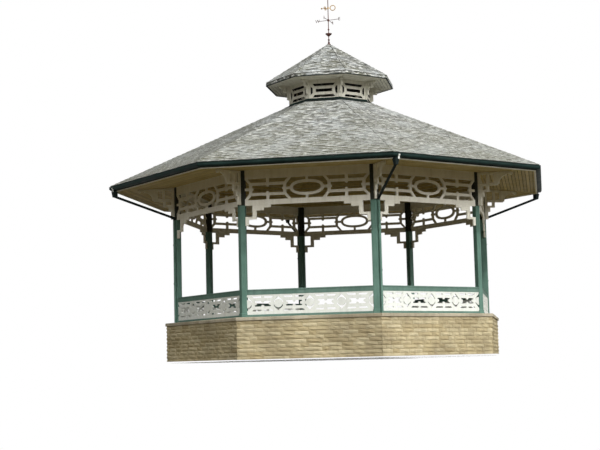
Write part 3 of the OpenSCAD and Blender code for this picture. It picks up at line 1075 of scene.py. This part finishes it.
    def flags(self) -> None:
        """Lays the deck with rows of flags, cut to the octagon inside the coping."""
        low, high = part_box("deck_floor")
        along, across = self.flag
        gap = self.flag_gap / 2
        slab = block("flags", (gap, gap, high.z - self.flag_t), (along - gap, across - gap, high.z))
        bevelled(slab, self.arris, lambda a, b: min(a.z, b.z) > high.z - NEAR)
        per_slab = len(slab.data.vertices)
        columns = int(2 * high.x / along) + 3
        rows_of = int(2 * high.y / across) + 3
        arrayed(slab, columns, (along, 0, 0))
        arrayed(slab, 2, (along / 2, across, 0))
        arrayed(slab, (rows_of + 1) // 2, (0, 2 * across, 0))
        rng = np.random.default_rng(self.seed + 30)
        count = len(slab.data.vertices) // per_slab
        toned(slab, np.repeat(rng.uniform(0, 1, count), per_slab))
        moved(slab, Matrix.Translation((-(columns + 0.5) * along / 2, -rows_of * across / 2, 0)))
        bed = block("flag_bed", low + Vector((0.01, 0.01, 0)), high - Vector((0.01, 0.01, self.flag_t - 0.002)))
        for sheet, short in ((slab, 0.003), (bed, 0.006)):
            for bay in range(SIDES):
                outward = bay_turn(bay) @ Vector((0, -1, 0))
                cut(sheet, outward * (high.y - short), outward)
        toned(bed, np.zeros(len(bed.data.vertices)))
        floor = joined("deck_flags", [slab, bed])
        self.shop.report(floor, Slot.DECK, stands_for=["deck_floor"])

    def steps(self) -> None:
        """Builds the flight from long stones with rounded nosings."""
        low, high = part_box("entrance_steps")
        riser = (high.z - low.z) / self.step_count
        tread = (high.y - low.y) / self.step_count
        length = (high.x - low.x) / self.step_stones
        rng = np.random.default_rng(self.seed + 40)
        half_gap = self.step_gap / 2
        stones = []
        for level in range(self.step_count):
            front = low.y + (self.step_count - level) * tread
            for n in range(self.step_stones):
                left = low.x + n * length
                stone = block(
                    "step",
                    (left + half_gap, low.y, level * riser),
                    (left + length - half_gap, front, (level + 1) * riser - 0.001),
                )
                bevelled(stone, self.step_nose, lambda a, b: min(a.y, b.y) > front - NEAR, 2)
                toned(stone, np.full(len(stone.data.vertices), rng.uniform(0, 1)))
                stones.append(stone)
        flight = joined("step_stones", stones)
        crisp(flight)
        self.shop.report(flight, Slot.COPING, stands_for=["entrance_steps"])

    def step_wall_faces(self) -> None:
        """Faces the outer sides of the step walls with the same courses."""
        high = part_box("step_walls")[1]
        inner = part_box("plinth")[1].y
        depth = high.y - inner
        faces = []
        for side in (-1, 1):
            sheet = self.stone_sheet("wall_face", depth, high.z, self.seed + 50 + side)
            moved(sheet, Matrix.Translation((0, -high.x, 0)))
            moved(sheet, Matrix.Rotation(side * math.pi / 2, 4, "Z"))
            moved(sheet, Matrix.Translation((0, inner + depth / 2, 0)))
            cut(sheet, (0, inner, 0), (0, -1, 0))
            cut(sheet, (0, high.y - 0.001, 0), (0, 1, 0))
            run = depth - self.wall_shelf
            fall = high.z - self.wall_foot
            cut(sheet, (0, high.y, self.wall_foot), (0, fall, run))
            faces.append(sheet)
        self.shop.report(joined("step_wall_stones", faces), Slot.PLINTH)


@dataclass
class Timber:
    """Posts, rails, railing panels, friezes and brackets."""

    shop: Workshop
    foot_h: float = 0.125
    foot_growth: float = 1.13
    foot_bevel: float = 0.016

    def build(self) -> None:
        """Paints the posts and rails, and eases the arrises of the fretwork."""
        shop = self.shop
        shop.paint(Slot.POST, *[f"post_{n + 1}" for n in range(SIDES)])
        self.feet()
        shop.paint(Slot.RAIL, "top_rails", "bottom_rails")
        for name in sorted(shop.nodes):
            if name.startswith("railing_"):
                shop.eased(name, Slot.PANEL)
            elif name.startswith("frieze_") or name in ("stepped_brackets", "eaves_brackets"):
                shop.eased(name, Slot.FRIEZE)

    def feet(self) -> None:
        """Wraps a chamfered block round the foot of each post."""
        feet = []
        for n in range(SIDES):
            foot = self.shop.merged(f"post_{n + 1}", "foot")
            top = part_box(f"post_{n + 1}")[0].z + self.foot_h
            cut(foot, (0, 0, top), (0, 0, 1))
            middle = tuple(points(foot).mean(axis=0))
            edit(foot, Pick.POINTS)
            bpy.ops.transform.resize(value=(self.foot_growth, self.foot_growth, 1), center_override=middle)
            done()
            bevelled(foot, self.foot_bevel, lambda a, b: min(a.z, b.z) > top - NEAR)
            feet.append(foot)
        self.shop.report(joined("post_feet", feet), Slot.POST)


@dataclass
class Boarding:
    """V-jointed boards under the eaves, under the roof and on the inside of the ring beam."""

    shop: Workshop
    width: float = 0.103
    thickness: float = 0.020
    joint: float = 0.011
    open_joint: float = 0.012
    bead: float = 0.055

    def build(self) -> None:
        """Lays the boards of the soffit, the ceiling, the beam and the lantern's eaves."""
        self.shop.paint(Slot.FRIEZE, "ring_beam")
        # The lantern's lining is dark: painted shade behind the slotted panels.
        self.shop.paint(Slot.FASCIA, "lantern_lining")
        self.sloping("soffit_boards", "soffit", 1)
        self.sloping("ceiling_boards", "ceiling", 2)
        self.sloping("lantern_soffit_boards", "lantern_soffit", 3)
        self.beam_lining()
        self.soffit_bead()

    def boards(self, name: str, run: float, length: float, seed: int) -> bpy.types.Object:
        """Lays boards side by side, with x along them, y across and their faces on z = 0 looking down.

        Args:
            name: Name of the sheet.
            run: Width that they cover together.
            length: Length of a board.
            seed: Seed of their shades.

        Returns:
            The sheet of boards.
        """
        count = max(2, round(run / self.width))
        wide = run / count
        half = self.open_joint / 2
        board = block(name, (-length / 2, half, 0), (length / 2, wide - half, self.thickness))
        bevelled(board, self.joint, lambda a, b: max(a.z, b.z) < NEAR and abs(a.y - b.y) < NEAR)
        each = len(board.data.vertices)
        arrayed(board, count, (0, wide, 0))
        rng = np.random.default_rng(seed)
        toned(board, np.repeat(rng.uniform(0, 1, count), each))
        return board

    def sloping(self, name: str, node: str, seed: int) -> None:
        """Covers the underside of a sloping ring with boards that run along each bay.

        Args:
            name: Name of the new piece.
            node: The ring that it stands for.
            seed: Seed of the boards' shades.
        """
        outer, z_outer = ring_corner(self.shop.node(node), True, False)
        inner, z_inner = ring_corner(self.shop.node(node), False, False)
        run = math.hypot(outer - inner, z_inner - z_outer)
        sheet = self.boards(name, run, 2 * outer * math.tan(HALF_TURN) + 2 * SPARE, seed)
        slope = math.atan2(z_inner - z_outer, outer - inner)
        moved(sheet, Matrix.Translation((0, -outer, z_outer)) @ Matrix.Rotation(slope, 4, "X"))
        mitred(sheet)
        piece = round_all(name, sheet, range(SIDES))
        slot = Slot.LANTERN if node.startswith("lantern") else Slot.BOARDS
        self.shop.report(piece, slot, stands_for=[node])

    def beam_lining(self) -> None:
        """Boards the inner face of the ring beam."""
        inner, bottom = ring_corner(self.shop.node("ring_beam"), False, False)
        _, top = ring_corner(self.shop.node("ceiling"), True, False)
        sheet = self.boards("beam_lining", top - bottom, 2 * inner * math.tan(HALF_TURN) + 2 * SPARE, 4)
        moved(sheet, Matrix.Translation((0, -inner + self.thickness, bottom)) @ Matrix.Rotation(math.pi / 2, 4, "X"))
        mitred(sheet)
        self.shop.report(round_all("beam_lining", sheet, range(SIDES)), Slot.BOARDS)

    def soffit_bead(self) -> None:
        """Runs a rounded bead along the outer edge of the soffit."""
        outer, low = ring_corner(self.shop.node("soffit"), True, False)
        half = outer * math.tan(HALF_TURN) + SPARE
        bead = block("soffit_bead", (-half, -outer, low - self.bead * 0.7), (half, -outer + self.bead, low + 0.004))
        bevelled(bead, self.bead * 0.45, lambda a, b: max(a.z, b.z) < low - 0.01 and abs(a.x - b.x) > half, 3)
        mitred(bead)
        self.shop.report(round_all("soffit_bead", bead, range(SIDES)), Slot.FRIEZE)


@dataclass
class Slater:
    """Slates on the main roof and on the lantern roof, laid in courses with broken joints."""

    shop: Workshop
    width: float = 0.170
    gauge: float = 0.150
    lap: float = 0.062
    thickness: float = 0.013
    gap: float = 0.007
    hip_gap: float = 0.008
    lift: float = 0.003
    stagger: float = 0.2
    tail_shift: float = 0.004
    tail_lift: tuple[float, float] = (-0.001, 0.007)
    course_tone: float = 0.06
    mast_clear: float = 0.05
    lantern_scale: float = 0.86
    tone_spread: float = 1.25
    eave_highlight_and_shadow: float = 0.35
    bay_tones: tuple[float, ...] = (0.0, -0.42, -0.15, 0.05, -0.10, 0.0, -0.05, 0.12)
    seed: int = 3

    def build(self) -> None:
        """Slates both roofs."""
        shop = self.shop
        shop.paint(Slot.SLATES, "main_roof", "lantern_roof")
        curb = ring_corner(shop.node("lantern_curb"), True, False)[0]
        self.slate_roof("main_slates", *pitched(shop.node("main_roof")), curb, 1.0)
        self.slate_roof("lantern_slates", *pitched(shop.node("lantern_roof")), self.mast_clear, self.lantern_scale)

    def sheet(self, name: str, width: float, rise: float, scale: float, bay: int) -> bpy.types.Object:
        """Lays slates on a plane, with x along the eave and y up the slope.

        Args:
            name: Name of the sheet.
            width: Width that they cover, centred on x = 0.
            rise: Length of the slope that they cover.
            scale: Size of a slate beside the main roof's.
            bay: The bay, which sets the tone and the differences between slates.

        Returns:
            The sheet.
        """
        rng = np.random.default_rng(self.seed + bay)
        wide, gauge = self.width * scale, self.gauge * scale
        length, half = gauge + self.lap, self.gap / 2
        slate = block(name, (half, 0, self.lift), (wide - half, length, self.lift + self.thickness))
        edit(slate, Pick.POINTS, lambda co: co.y > length / 2 and co.z > 0.005)
        bpy.ops.transform.translate(value=(0, 0, 0.001 - self.thickness))
        done()
        across = int(width / wide) + 3
        courses = int(rise / gauge) + 2
        arrayed(slate, across, (wide, 0, 0))
        arrayed(slate, 2, (wide / 2, gauge, 0))
        arrayed(slate, (courses + 1) // 2, (0, 2 * gauge, 0))
        rows = points(slate).reshape(-1, across, 8, 3)
        courses = rows.shape[0]
        rows[..., 0] -= (across + 0.5) * wide / 2
        left = rows[:1, :1, :, 0] < rows[:1, :1, :, 0].mean()
        shift = rng.uniform(-self.stagger, self.stagger, (courses, across + 1)) * wide
        rows[..., 0] += np.where(left, shift[:, :-1, None], shift[:, 1:, None])
        tails = rows[:1, :1, :, 1] < length / 2
        rows[..., 1] += np.where(tails, rng.normal(0, self.tail_shift, (courses, across, 1)), 0)
        rows[..., 2] += np.where(tails, rng.uniform(*self.tail_lift, (courses, across, 1)), 0)
        set_points(slate, rows.reshape(-1, 3))
        per_course = rng.uniform(-self.course_tone, self.course_tone, (courses, 1, 1))
        shades = 0.5 + (rng.beta(1.8, 1.8, (courses, across, 1)) - 0.5) * self.tone_spread + per_course
        shades += self.bay_tones[bay]
        # Painted highlight on the eave course and painted shadow on the course above it.
        shades[:2] += np.array([self.eave_highlight_and_shadow, -self.eave_highlight_and_shadow]).reshape(2, 1, 1)
        toned(slate, (np.clip(shades, 0, 1) * np.ones((1, 1, 8))).ravel())
        marked(slate, TAIL, np.broadcast_to(tails, rows.shape[:3]).ravel())
        return slate

    def slate_roof(self, name: str, eave: float, eave_z: float, slope: float, top: float, scale: float) -> None:
        """Slates the eight faces of a roof.

        Args:
            name: Name of the finished piece.
            eave: Distance from the centre to the eave.
            eave_z: Height of the roof there.
            slope: Pitch of the roof in radians.
            top: Distance from the centre where the slates end.
            scale: Size of a slate beside the main roof's.
        """
        rise = (eave - top) / math.cos(slope)
        lay = Matrix.Translation((0, -eave, eave_z)) @ Matrix.Rotation(slope, 4, "X")
        faces = []
        for bay in range(SIDES):
            sheet = self.sheet(name, 2 * eave * math.tan(HALF_TURN), rise, scale, bay)
            moved(sheet, lay)
            cut(sheet, (0, -top, 0), (0, 1, 0))
            mitred(sheet, self.hip_gap)
            faces.append(moved(sheet, bay_turn(bay)))
        self.shop.report(joined(name, faces), Slot.SLATES)


@dataclass
class Eaves:
    """Fascia, gutter, downpipes and their small ironwork."""

    shop: Workshop
    front_line: tuple[tuple[float, float], ...] = (
        (0.048, 0.000), (0.074, 0.006), (0.093, 0.020), (0.105, 0.038), (0.111, 0.056), (0.110, 0.070),
        (0.104, 0.080), (0.101, 0.086), (0.104, 0.092), (0.111, 0.095), (0.116, 0.100), (0.116, 0.106),
        (0.111, 0.110), (0.104, 0.110),
    )
    inner_line: tuple[tuple[float, float], ...] = (
        (0.097, 0.104), (0.096, 0.088), (0.097, 0.078), (0.103, 0.066), (0.104, 0.056), (0.098, 0.041),
        (0.087, 0.026), (0.070, 0.013), (0.046, 0.006), (0.006, 0.006), (0.006, 0.110), (0.000, 0.110),
    )
    strap_line: tuple[tuple[float, float], ...] = (
        (0.081, -0.060), (0.081, -0.020), (0.082, 0.008), (0.093, 0.020), (0.105, 0.038), (0.111, 0.056),
        (0.1105, 0.066),
    )
    bend_rise: float = -0.02
    joint_spacing: float = 1.76
    joint_w: float = 0.050
    strap_w: float = 0.055
    strap_t: float = 0.004
    sunk: float = 0.001
    strap_place: float = 0.150
    head_z: float = 5.037
    head_middle: tuple[float, float] = (-2.5236, -6.349)
    head_taper: float = 0.62
    head_reach: tuple[float, float] = (0.09, 0.12)
    t: float = 0.003

    def build(self) -> None:
        """Builds the gutter with its joints, parts the downpipes, and adds the straps by the outlets."""
        self.shop.paint(Slot.FASCIA, "fascia")
        self.gutter()
        self.pipes()
        self.joints()
        self.straps()

    def placed(self, line: Iterable[tuple[float, float]]) -> list[tuple[float, float]]:
        """Turns places in the gutter's section, from its back and its bottom, into flats and heights.

        Args:
            line: The places, each out and up.

        Returns:
            The same places, each a distance from the centre and a height.
        """
        back = ring_corner(self.shop.node("gutter"), False, True)[0]
        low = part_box("gutter")[0].z
        return [(back + out, low + up) for out, up in line]

    def half(self) -> float:
        """Gives half the length of a piece along the gutter, with some to cut off."""
        return ring_corner(self.shop.node("gutter"), True, True)[0] * math.tan(HALF_TURN) + SPARE

    def gutter(self) -> None:
        """Draws the moulded gutter, with a rolled lip and a hollow below it."""
        section = self.placed(((0.0, 0.0), *self.front_line, *self.inner_line))
        trough = moulding("gutter_moulded", section, self.half())
        mitred(trough, 0.0005)
        ring = round_all("gutter_moulded", trough, range(SIDES))
        crisp(ring)
        self.shop.report(ring, Slot.GUTTER, stands_for=["gutter"])

    def pipes(self) -> None:
        """Parts the downpipes below their bends; the upper parts take the dark fascia paint as painted shade under the
        eaves.
        """
        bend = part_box("frieze_1")[0].z + self.bend_rise
        lower = self.shop.merged("downpipes", "pipes_lower")
        upper = self.shop.merged("downpipes", "pipes_upper")
        cut(lower, (0, 0, bend), (0, 0, 1))
        cut(upper, (0, 0, bend), (0, 0, -1))
        self.taper_heads(upper)
        for pipes in (lower, upper):
            crisp(pipes)
        self.shop.report(lower, Slot.POST, stands_for=["downpipes"])
        # Painted shade: the upper pipes under the eaves are dark.
        self.shop.report(upper, Slot.FASCIA)

    def taper_heads(self, pipes: bpy.types.Object) -> None:
        """Draws in the bottom corners of the boxes at the heads of the downpipes.

        Args:
            pipes: The pipes.
        """
        near, far = self.head_reach
        for bay in range(1, SIDES, 2):
            middle = bay_turn(bay) @ Vector((*self.head_middle, self.head_z))
            edit(pipes, Pick.POINTS, lambda co: abs(co.z - self.head_z) < NEAR and near < (co - middle).length < far)
            size = (self.head_taper, self.head_taper, 1)
            bpy.ops.transform.resize(value=size, center_override=tuple(middle))
            done()

    def joints(self) -> None:
        """Covers the gutter's joints with sleeves at even steps along each bay."""
        back, _ = ring_corner(self.shop.node("gutter"), False, True)
        section = skin(self.placed(self.front_line), -self.sunk, self.t)
        sleeve = moulding("sleeve", section, self.joint_w / 2)
        count = int(2 * back * math.tan(HALF_TURN) / self.joint_spacing)
        arrayed(sleeve, count, (self.joint_spacing, 0, 0))
        moved(sleeve, Matrix.Translation((-(count - 1) * self.joint_spacing / 2, 0, 0)))
        self.shop.report(round_all("gutter_joints", sleeve, range(SIDES)), Slot.GUTTER)

    def straps(self) -> None:
        """Fixes a white strap beside the outlet of each downpipe."""
        back, _ = ring_corner(self.shop.node("gutter"), False, True)
        section = skin(self.placed(self.strap_line), -self.sunk, self.strap_t)
        strap = moulding("strap", section, self.strap_w / 2)
        moved(strap, Matrix.Translation((-back * math.tan(HALF_TURN) + self.strap_place, 0, 0)))
        self.shop.report(round_all("outlet_straps", strap, range(1, SIDES, 2)), Slot.PANEL)


@dataclass
class Lantern:
    """Slotted lantern walls, their corner brackets, the curb and its lead apron."""

    shop: Workshop
    apron_w: float = 0.16
    apron_t: float = 0.006
    apron_lift: float = 0.017
    edge_tone: float = 0.35
    edge_tail: float = 0.6
    arris: float = 0.002

    def build(self) -> None:
        """Paints the lantern, eases its fretwork and dresses the lead."""
        shop = self.shop
        shop.paint(Slot.GUTTER, "lantern_curb")
        # The panels' slots and insides get painted shade.
        self.mark_painted_shade(shop.eased("lantern_panels", Slot.LANTERN))
        shop.eased("lantern_corners", Slot.LANTERN)
        self.apron()
        self.edge()

    def mark_painted_shade(self, panels: bpy.types.Object) -> None:
        """Marks all but the outer faces of the slotted panels, for the paint to darken them as painted shade.

        Args:
            panels: The panels.
        """
        rows = points(panels)
        bays = np.round(np.arctan2(rows[:, 0], -rows[:, 1]) / TURN) * TURN
        flats = rows[:, 0] * np.sin(bays) - rows[:, 1] * np.cos(bays)
        marked(panels, PAINTED_RECESS_SHADE, flats < flats.max() - self.arris)

    def apron(self) -> None:
        """Lays a strip of lead over the slates round the curb."""
        eave, eave_z, slope = pitched(self.shop.node("main_roof"))
        curb = ring_corner(self.shop.node("lantern_curb"), True, False)[0]
        lift = self.apron_lift
        width = 2 * (curb + self.apron_w) * math.tan(HALF_TURN) + 0.2
        strip = block("apron", (-width / 2, -self.apron_w, lift), (width / 2, 0.01, lift + self.apron_t))
        bevelled(strip, self.arris, lambda a, b: max(a.y, b.y) < -self.apron_w + NEAR)
        height = eave_z + (eave - curb) * math.tan(slope)
        moved(strip, Matrix.Translation((0, -curb, height)) @ Matrix.Rotation(slope, 4, "X"))
        mitred(strip, 0.0)
        self.shop.report(round_all("lead_apron", strip, range(SIDES)), Slot.FASCIA)

    def edge(self) -> None:
        """Faces the edge of the lantern's eave with a grey board over a dark bead."""
        out, high = ring_corner(self.shop.node("lantern_roof"), True, True)
        _, low = ring_corner(self.shop.node("lantern_roof"), True, False)
        half = out * math.tan(HALF_TURN) + SPARE

        def front_edge(a: Vector, b: Vector) -> bool:
            """Says whether an edge runs along the front of a trim."""
            return max(a.y, b.y) < -out - 0.01 and abs(a.x - b.x) > half

        board = block("edge", (-half, -out - 0.012, low + 0.020), (half, -out + 0.002, high - 0.016))
        bevelled(board, 0.006, front_edge, 2)
        bead = block("bead", (-half, -out - 0.018, low - 0.004), (half, -out + 0.002, low + 0.022))
        bevelled(bead, 0.009, front_edge, 3)
        for trim, name, slot in ((board, "lantern_edge", Slot.SLATES), (bead, "lantern_bead", Slot.FASCIA)):
            mitred(trim)
            ring = round_all(name, trim, range(SIDES))
            marked(ring, TONE, np.full(len(ring.data.vertices), self.edge_tone))
            marked(ring, TAIL, np.full(len(ring.data.vertices), self.edge_tail))
            self.shop.report(ring, slot)


@dataclass
class Vane:
    """Mast, compass arms with their letters, and the turning pointer."""

    shop: Workshop
    letter_h: float = 0.100
    letter_t: float = 0.006
    letter_out: float = 0.02

    def build(self) -> None:
        """Paints the ironwork and hangs a letter at the end of each arm."""
        self.shop.paint(Slot.IRON, "mast", "compass_arms")
        self.shop.paint(Slot.GILT, "vane")
        self.letters()

    def letters(self) -> None:
        """Cuts the four compass letters and stands one on the end of each arm."""
        rows = points(self.shop.node("compass_arms"))
        ends = rows[rows[:, 0] > rows[:, 0].max() * 0.98]
        tip = ends.mean(axis=0)
        reach = math.hypot(tip[0], tip[1]) + self.letter_out
        lean = math.atan2(tip[1], tip[0])
        made = []
        for turn, letter in enumerate("SENW"):
            bpy.ops.object.text_add(location=(0, 0, 0))
            text = bpy.context.object
            text.data.body = letter
            text.data.align_x = "CENTER"
            text.data.align_y = "CENTER"
            text.data.size = self.letter_h / 0.7
            text.data.extrude = self.letter_t / 2
            only(text)
            bpy.ops.object.convert(target="MESH")
            obj = bpy.context.object
            stand = Matrix.Translation((reach, 0, tip[2])) @ Matrix.Rotation(math.pi / 2, 4, "X")
            moved(obj, Matrix.Rotation((turn - 1) * math.pi / 2 + lean, 4, "Z") @ stand)
            made.append(obj)
        letters = joined("compass_letters", made)
        edit(letters, Pick.POINTS)
        bpy.ops.mesh.remove_doubles(threshold=0.0001)
        done()
        self.shop.report(letters, Slot.IRON)


@dataclass
class Studio:
    """Camera, floor, lamp and world."""

    camera_at: tuple[float, float, float] = (6.438, -40.314, -0.2132)
    heading: float = 10.565
    pitch: float = 6.203
    roll: float = -1.4035
    lens: float = 78.44
    floor_r: float = 9.0
    sun_heading: float = 42.0
    sun_height: float = 43.2
    sun_power: float = 1.8
    sun_softness: float = 2.0
    sky_front: float = 5.1
    sky_top: float = 0.40
    sky_back: float = 0.12
    horizon: float = 0.09
    below: float = 0.10
    ahead: tuple[float, float] = (0.05, 0.92)
    top: tuple[float, float] = (0.42, 0.66)
    low: tuple[float, float] = (0.14, 0.30)
    ground: tuple[float, float] = (-0.06, 0.02)
    warm: tuple[float, float, float, float] = (1.0, 0.82, 0.52, 1.0)
    cool: tuple[float, float, float, float] = (0.98, 0.99, 1.0, 1.0)
    gloss_share: float = 0.5
    rim: tuple[float, float] = (0.62, 0.97)
    bounce: tuple[float, float, float, float] = (0.158, 0.140, 0.086, 1.0)
    pale: tuple[float, float, float, float] = (0.93, 0.93, 0.93, 1.0)

    def build(self) -> None:
        """Sets the stage."""
        bpy.context.scene.view_settings.view_transform = "Standard"
        self.camera()
        self.sun()
        self.world()
        self.floor()

    def camera(self) -> None:
        """Puts the camera where the photograph was taken from."""
        data = bpy.data.cameras.new("camera")
        data.lens = self.lens
        data.sensor_width = 36
        data.sensor_fit = "HORIZONTAL"
        data.clip_end = 200
        camera = bpy.data.objects.new("camera", data)
        turn = Matrix.Rotation(math.radians(self.heading), 4, "Z")
        tilt = Matrix.Rotation(math.radians(90 + self.pitch), 4, "X")
        lean = Matrix.Rotation(math.radians(self.roll), 4, "Z")
        camera.matrix_world = Matrix.Translation(self.camera_at) @ turn @ tilt @ lean
        bpy.context.scene.collection.objects.link(camera)
        bpy.context.scene.camera = camera

    def sun(self) -> None:
        """Adds one soft sun from the front right."""
        data = bpy.data.lights.new("sun", "SUN")
        data.energy = self.sun_power
        data.angle = math.radians(self.sun_softness)
        lamp = bpy.data.objects.new("sun", data)
        turn = Matrix.Rotation(math.radians(self.sun_heading), 4, "Z")
        tilt = Matrix.Rotation(math.radians(90 - self.sun_height), 4, "X")
        lamp.matrix_world = turn @ tilt
        bpy.context.scene.collection.objects.link(lamp)

    def world(self) -> None:
        """Lights from a plain sky, and shows white behind the object."""
        world = bpy.data.worlds.new("studio")
        world.use_nodes = True
        bpy.context.scene.world = world
        graph = Graph(world.node_tree)
        way = graph.add("TexCoord").outputs["Generated"]
        height = graph.add("SeparateXYZ", {0: way}).outputs["Z"]
        angle = math.radians(self.sun_heading)
        front = (math.sin(angle), -math.cos(angle), 0.0)
        ahead = graph.add("VectorMath", {0: way, 1: front}, operation="DOT_PRODUCT").outputs["Value"]
        low_sky = graph.band(ahead, *self.ahead, self.sky_back, self.sky_front)
        sky = graph.band(height, *self.top, low_sky, self.sky_top)
        low_rim = graph.maths("MULTIPLY", low_sky, self.horizon)
        open_sky = graph.band(height, *self.low, low_rim, sky)
        above = graph.band(height, *self.ground)
        level = graph.band(above, 0.0, 1.0, self.below, open_sky)
        colour = graph.mix(above, self.warm, self.cool)
        light = graph.add("Background", {"Color": colour, "Strength": level})
        white = graph.add("Background", {"Color": WHITE, "Strength": 1.0})
        path = graph.add("LightPath").outputs
        direct = graph.maths("MAXIMUM", path["Is Camera Ray"], path["Is Transmission Ray"])
        shown = graph.maths("MAXIMUM", direct, graph.maths("MULTIPLY", path["Is Glossy Ray"], self.gloss_share))
        both = graph.add("MixShader", {0: shown, 1: light.outputs[0], 2: white.outputs[0]})
        graph.add("OutputWorld", {"Surface": both.outputs[0]})

    def floor(self) -> None:
        """Lays a pale round floor that fades to white at its rim."""
        bpy.ops.mesh.primitive_circle_add(vertices=96, radius=self.floor_r, fill_type="NGON")
        floor = bpy.context.object
        floor.name = "floor"
        material = bpy.data.materials.new("pale floor")
        material.use_nodes = True
        graph = Graph(material.node_tree)
        reach = graph.add("VectorMath", {0: graph.place()}, operation="LENGTH").outputs["Value"]
        rim = graph.band(reach, *(self.floor_r * share for share in self.rim))
        under = graph.add("NewGeometry").outputs["Backfacing"]
        white = graph.maths("MAXIMUM", rim, under)
        seen = graph.add("LightPath").outputs["Is Camera Ray"]
        pale = graph.mix(seen, self.bounce, self.pale)
        matt = graph.add("BsdfDiffuse", {"Color": pale})
        glow = graph.add("Emission", {"Color": WHITE, "Strength": 1.0})
        amount = graph.maths("MULTIPLY", seen, white)
        both = graph.add("MixShader", {0: amount, 1: matt.outputs[0], 2: glow.outputs[0]})
        graph.add("OutputMaterial", {"Surface": both.outputs[0]})
        floor.data.materials.append(material)


def main() -> None:
    """Builds every sub-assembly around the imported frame."""
    logging.basicConfig(level=logging.INFO, format="%(name)s %(message)s")
    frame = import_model()
    Studio().build()
    shop = Workshop(frame["nodes"], Palette(Effects()))
    for trade in (Plinth(shop), Timber(shop), Boarding(shop), Slater(shop), Eaves(shop), Lantern(shop), Vane(shop)):
        trade.build()
        LOG.info("%s done", type(trade).__name__)


if __name__ == "__main__":
    main()
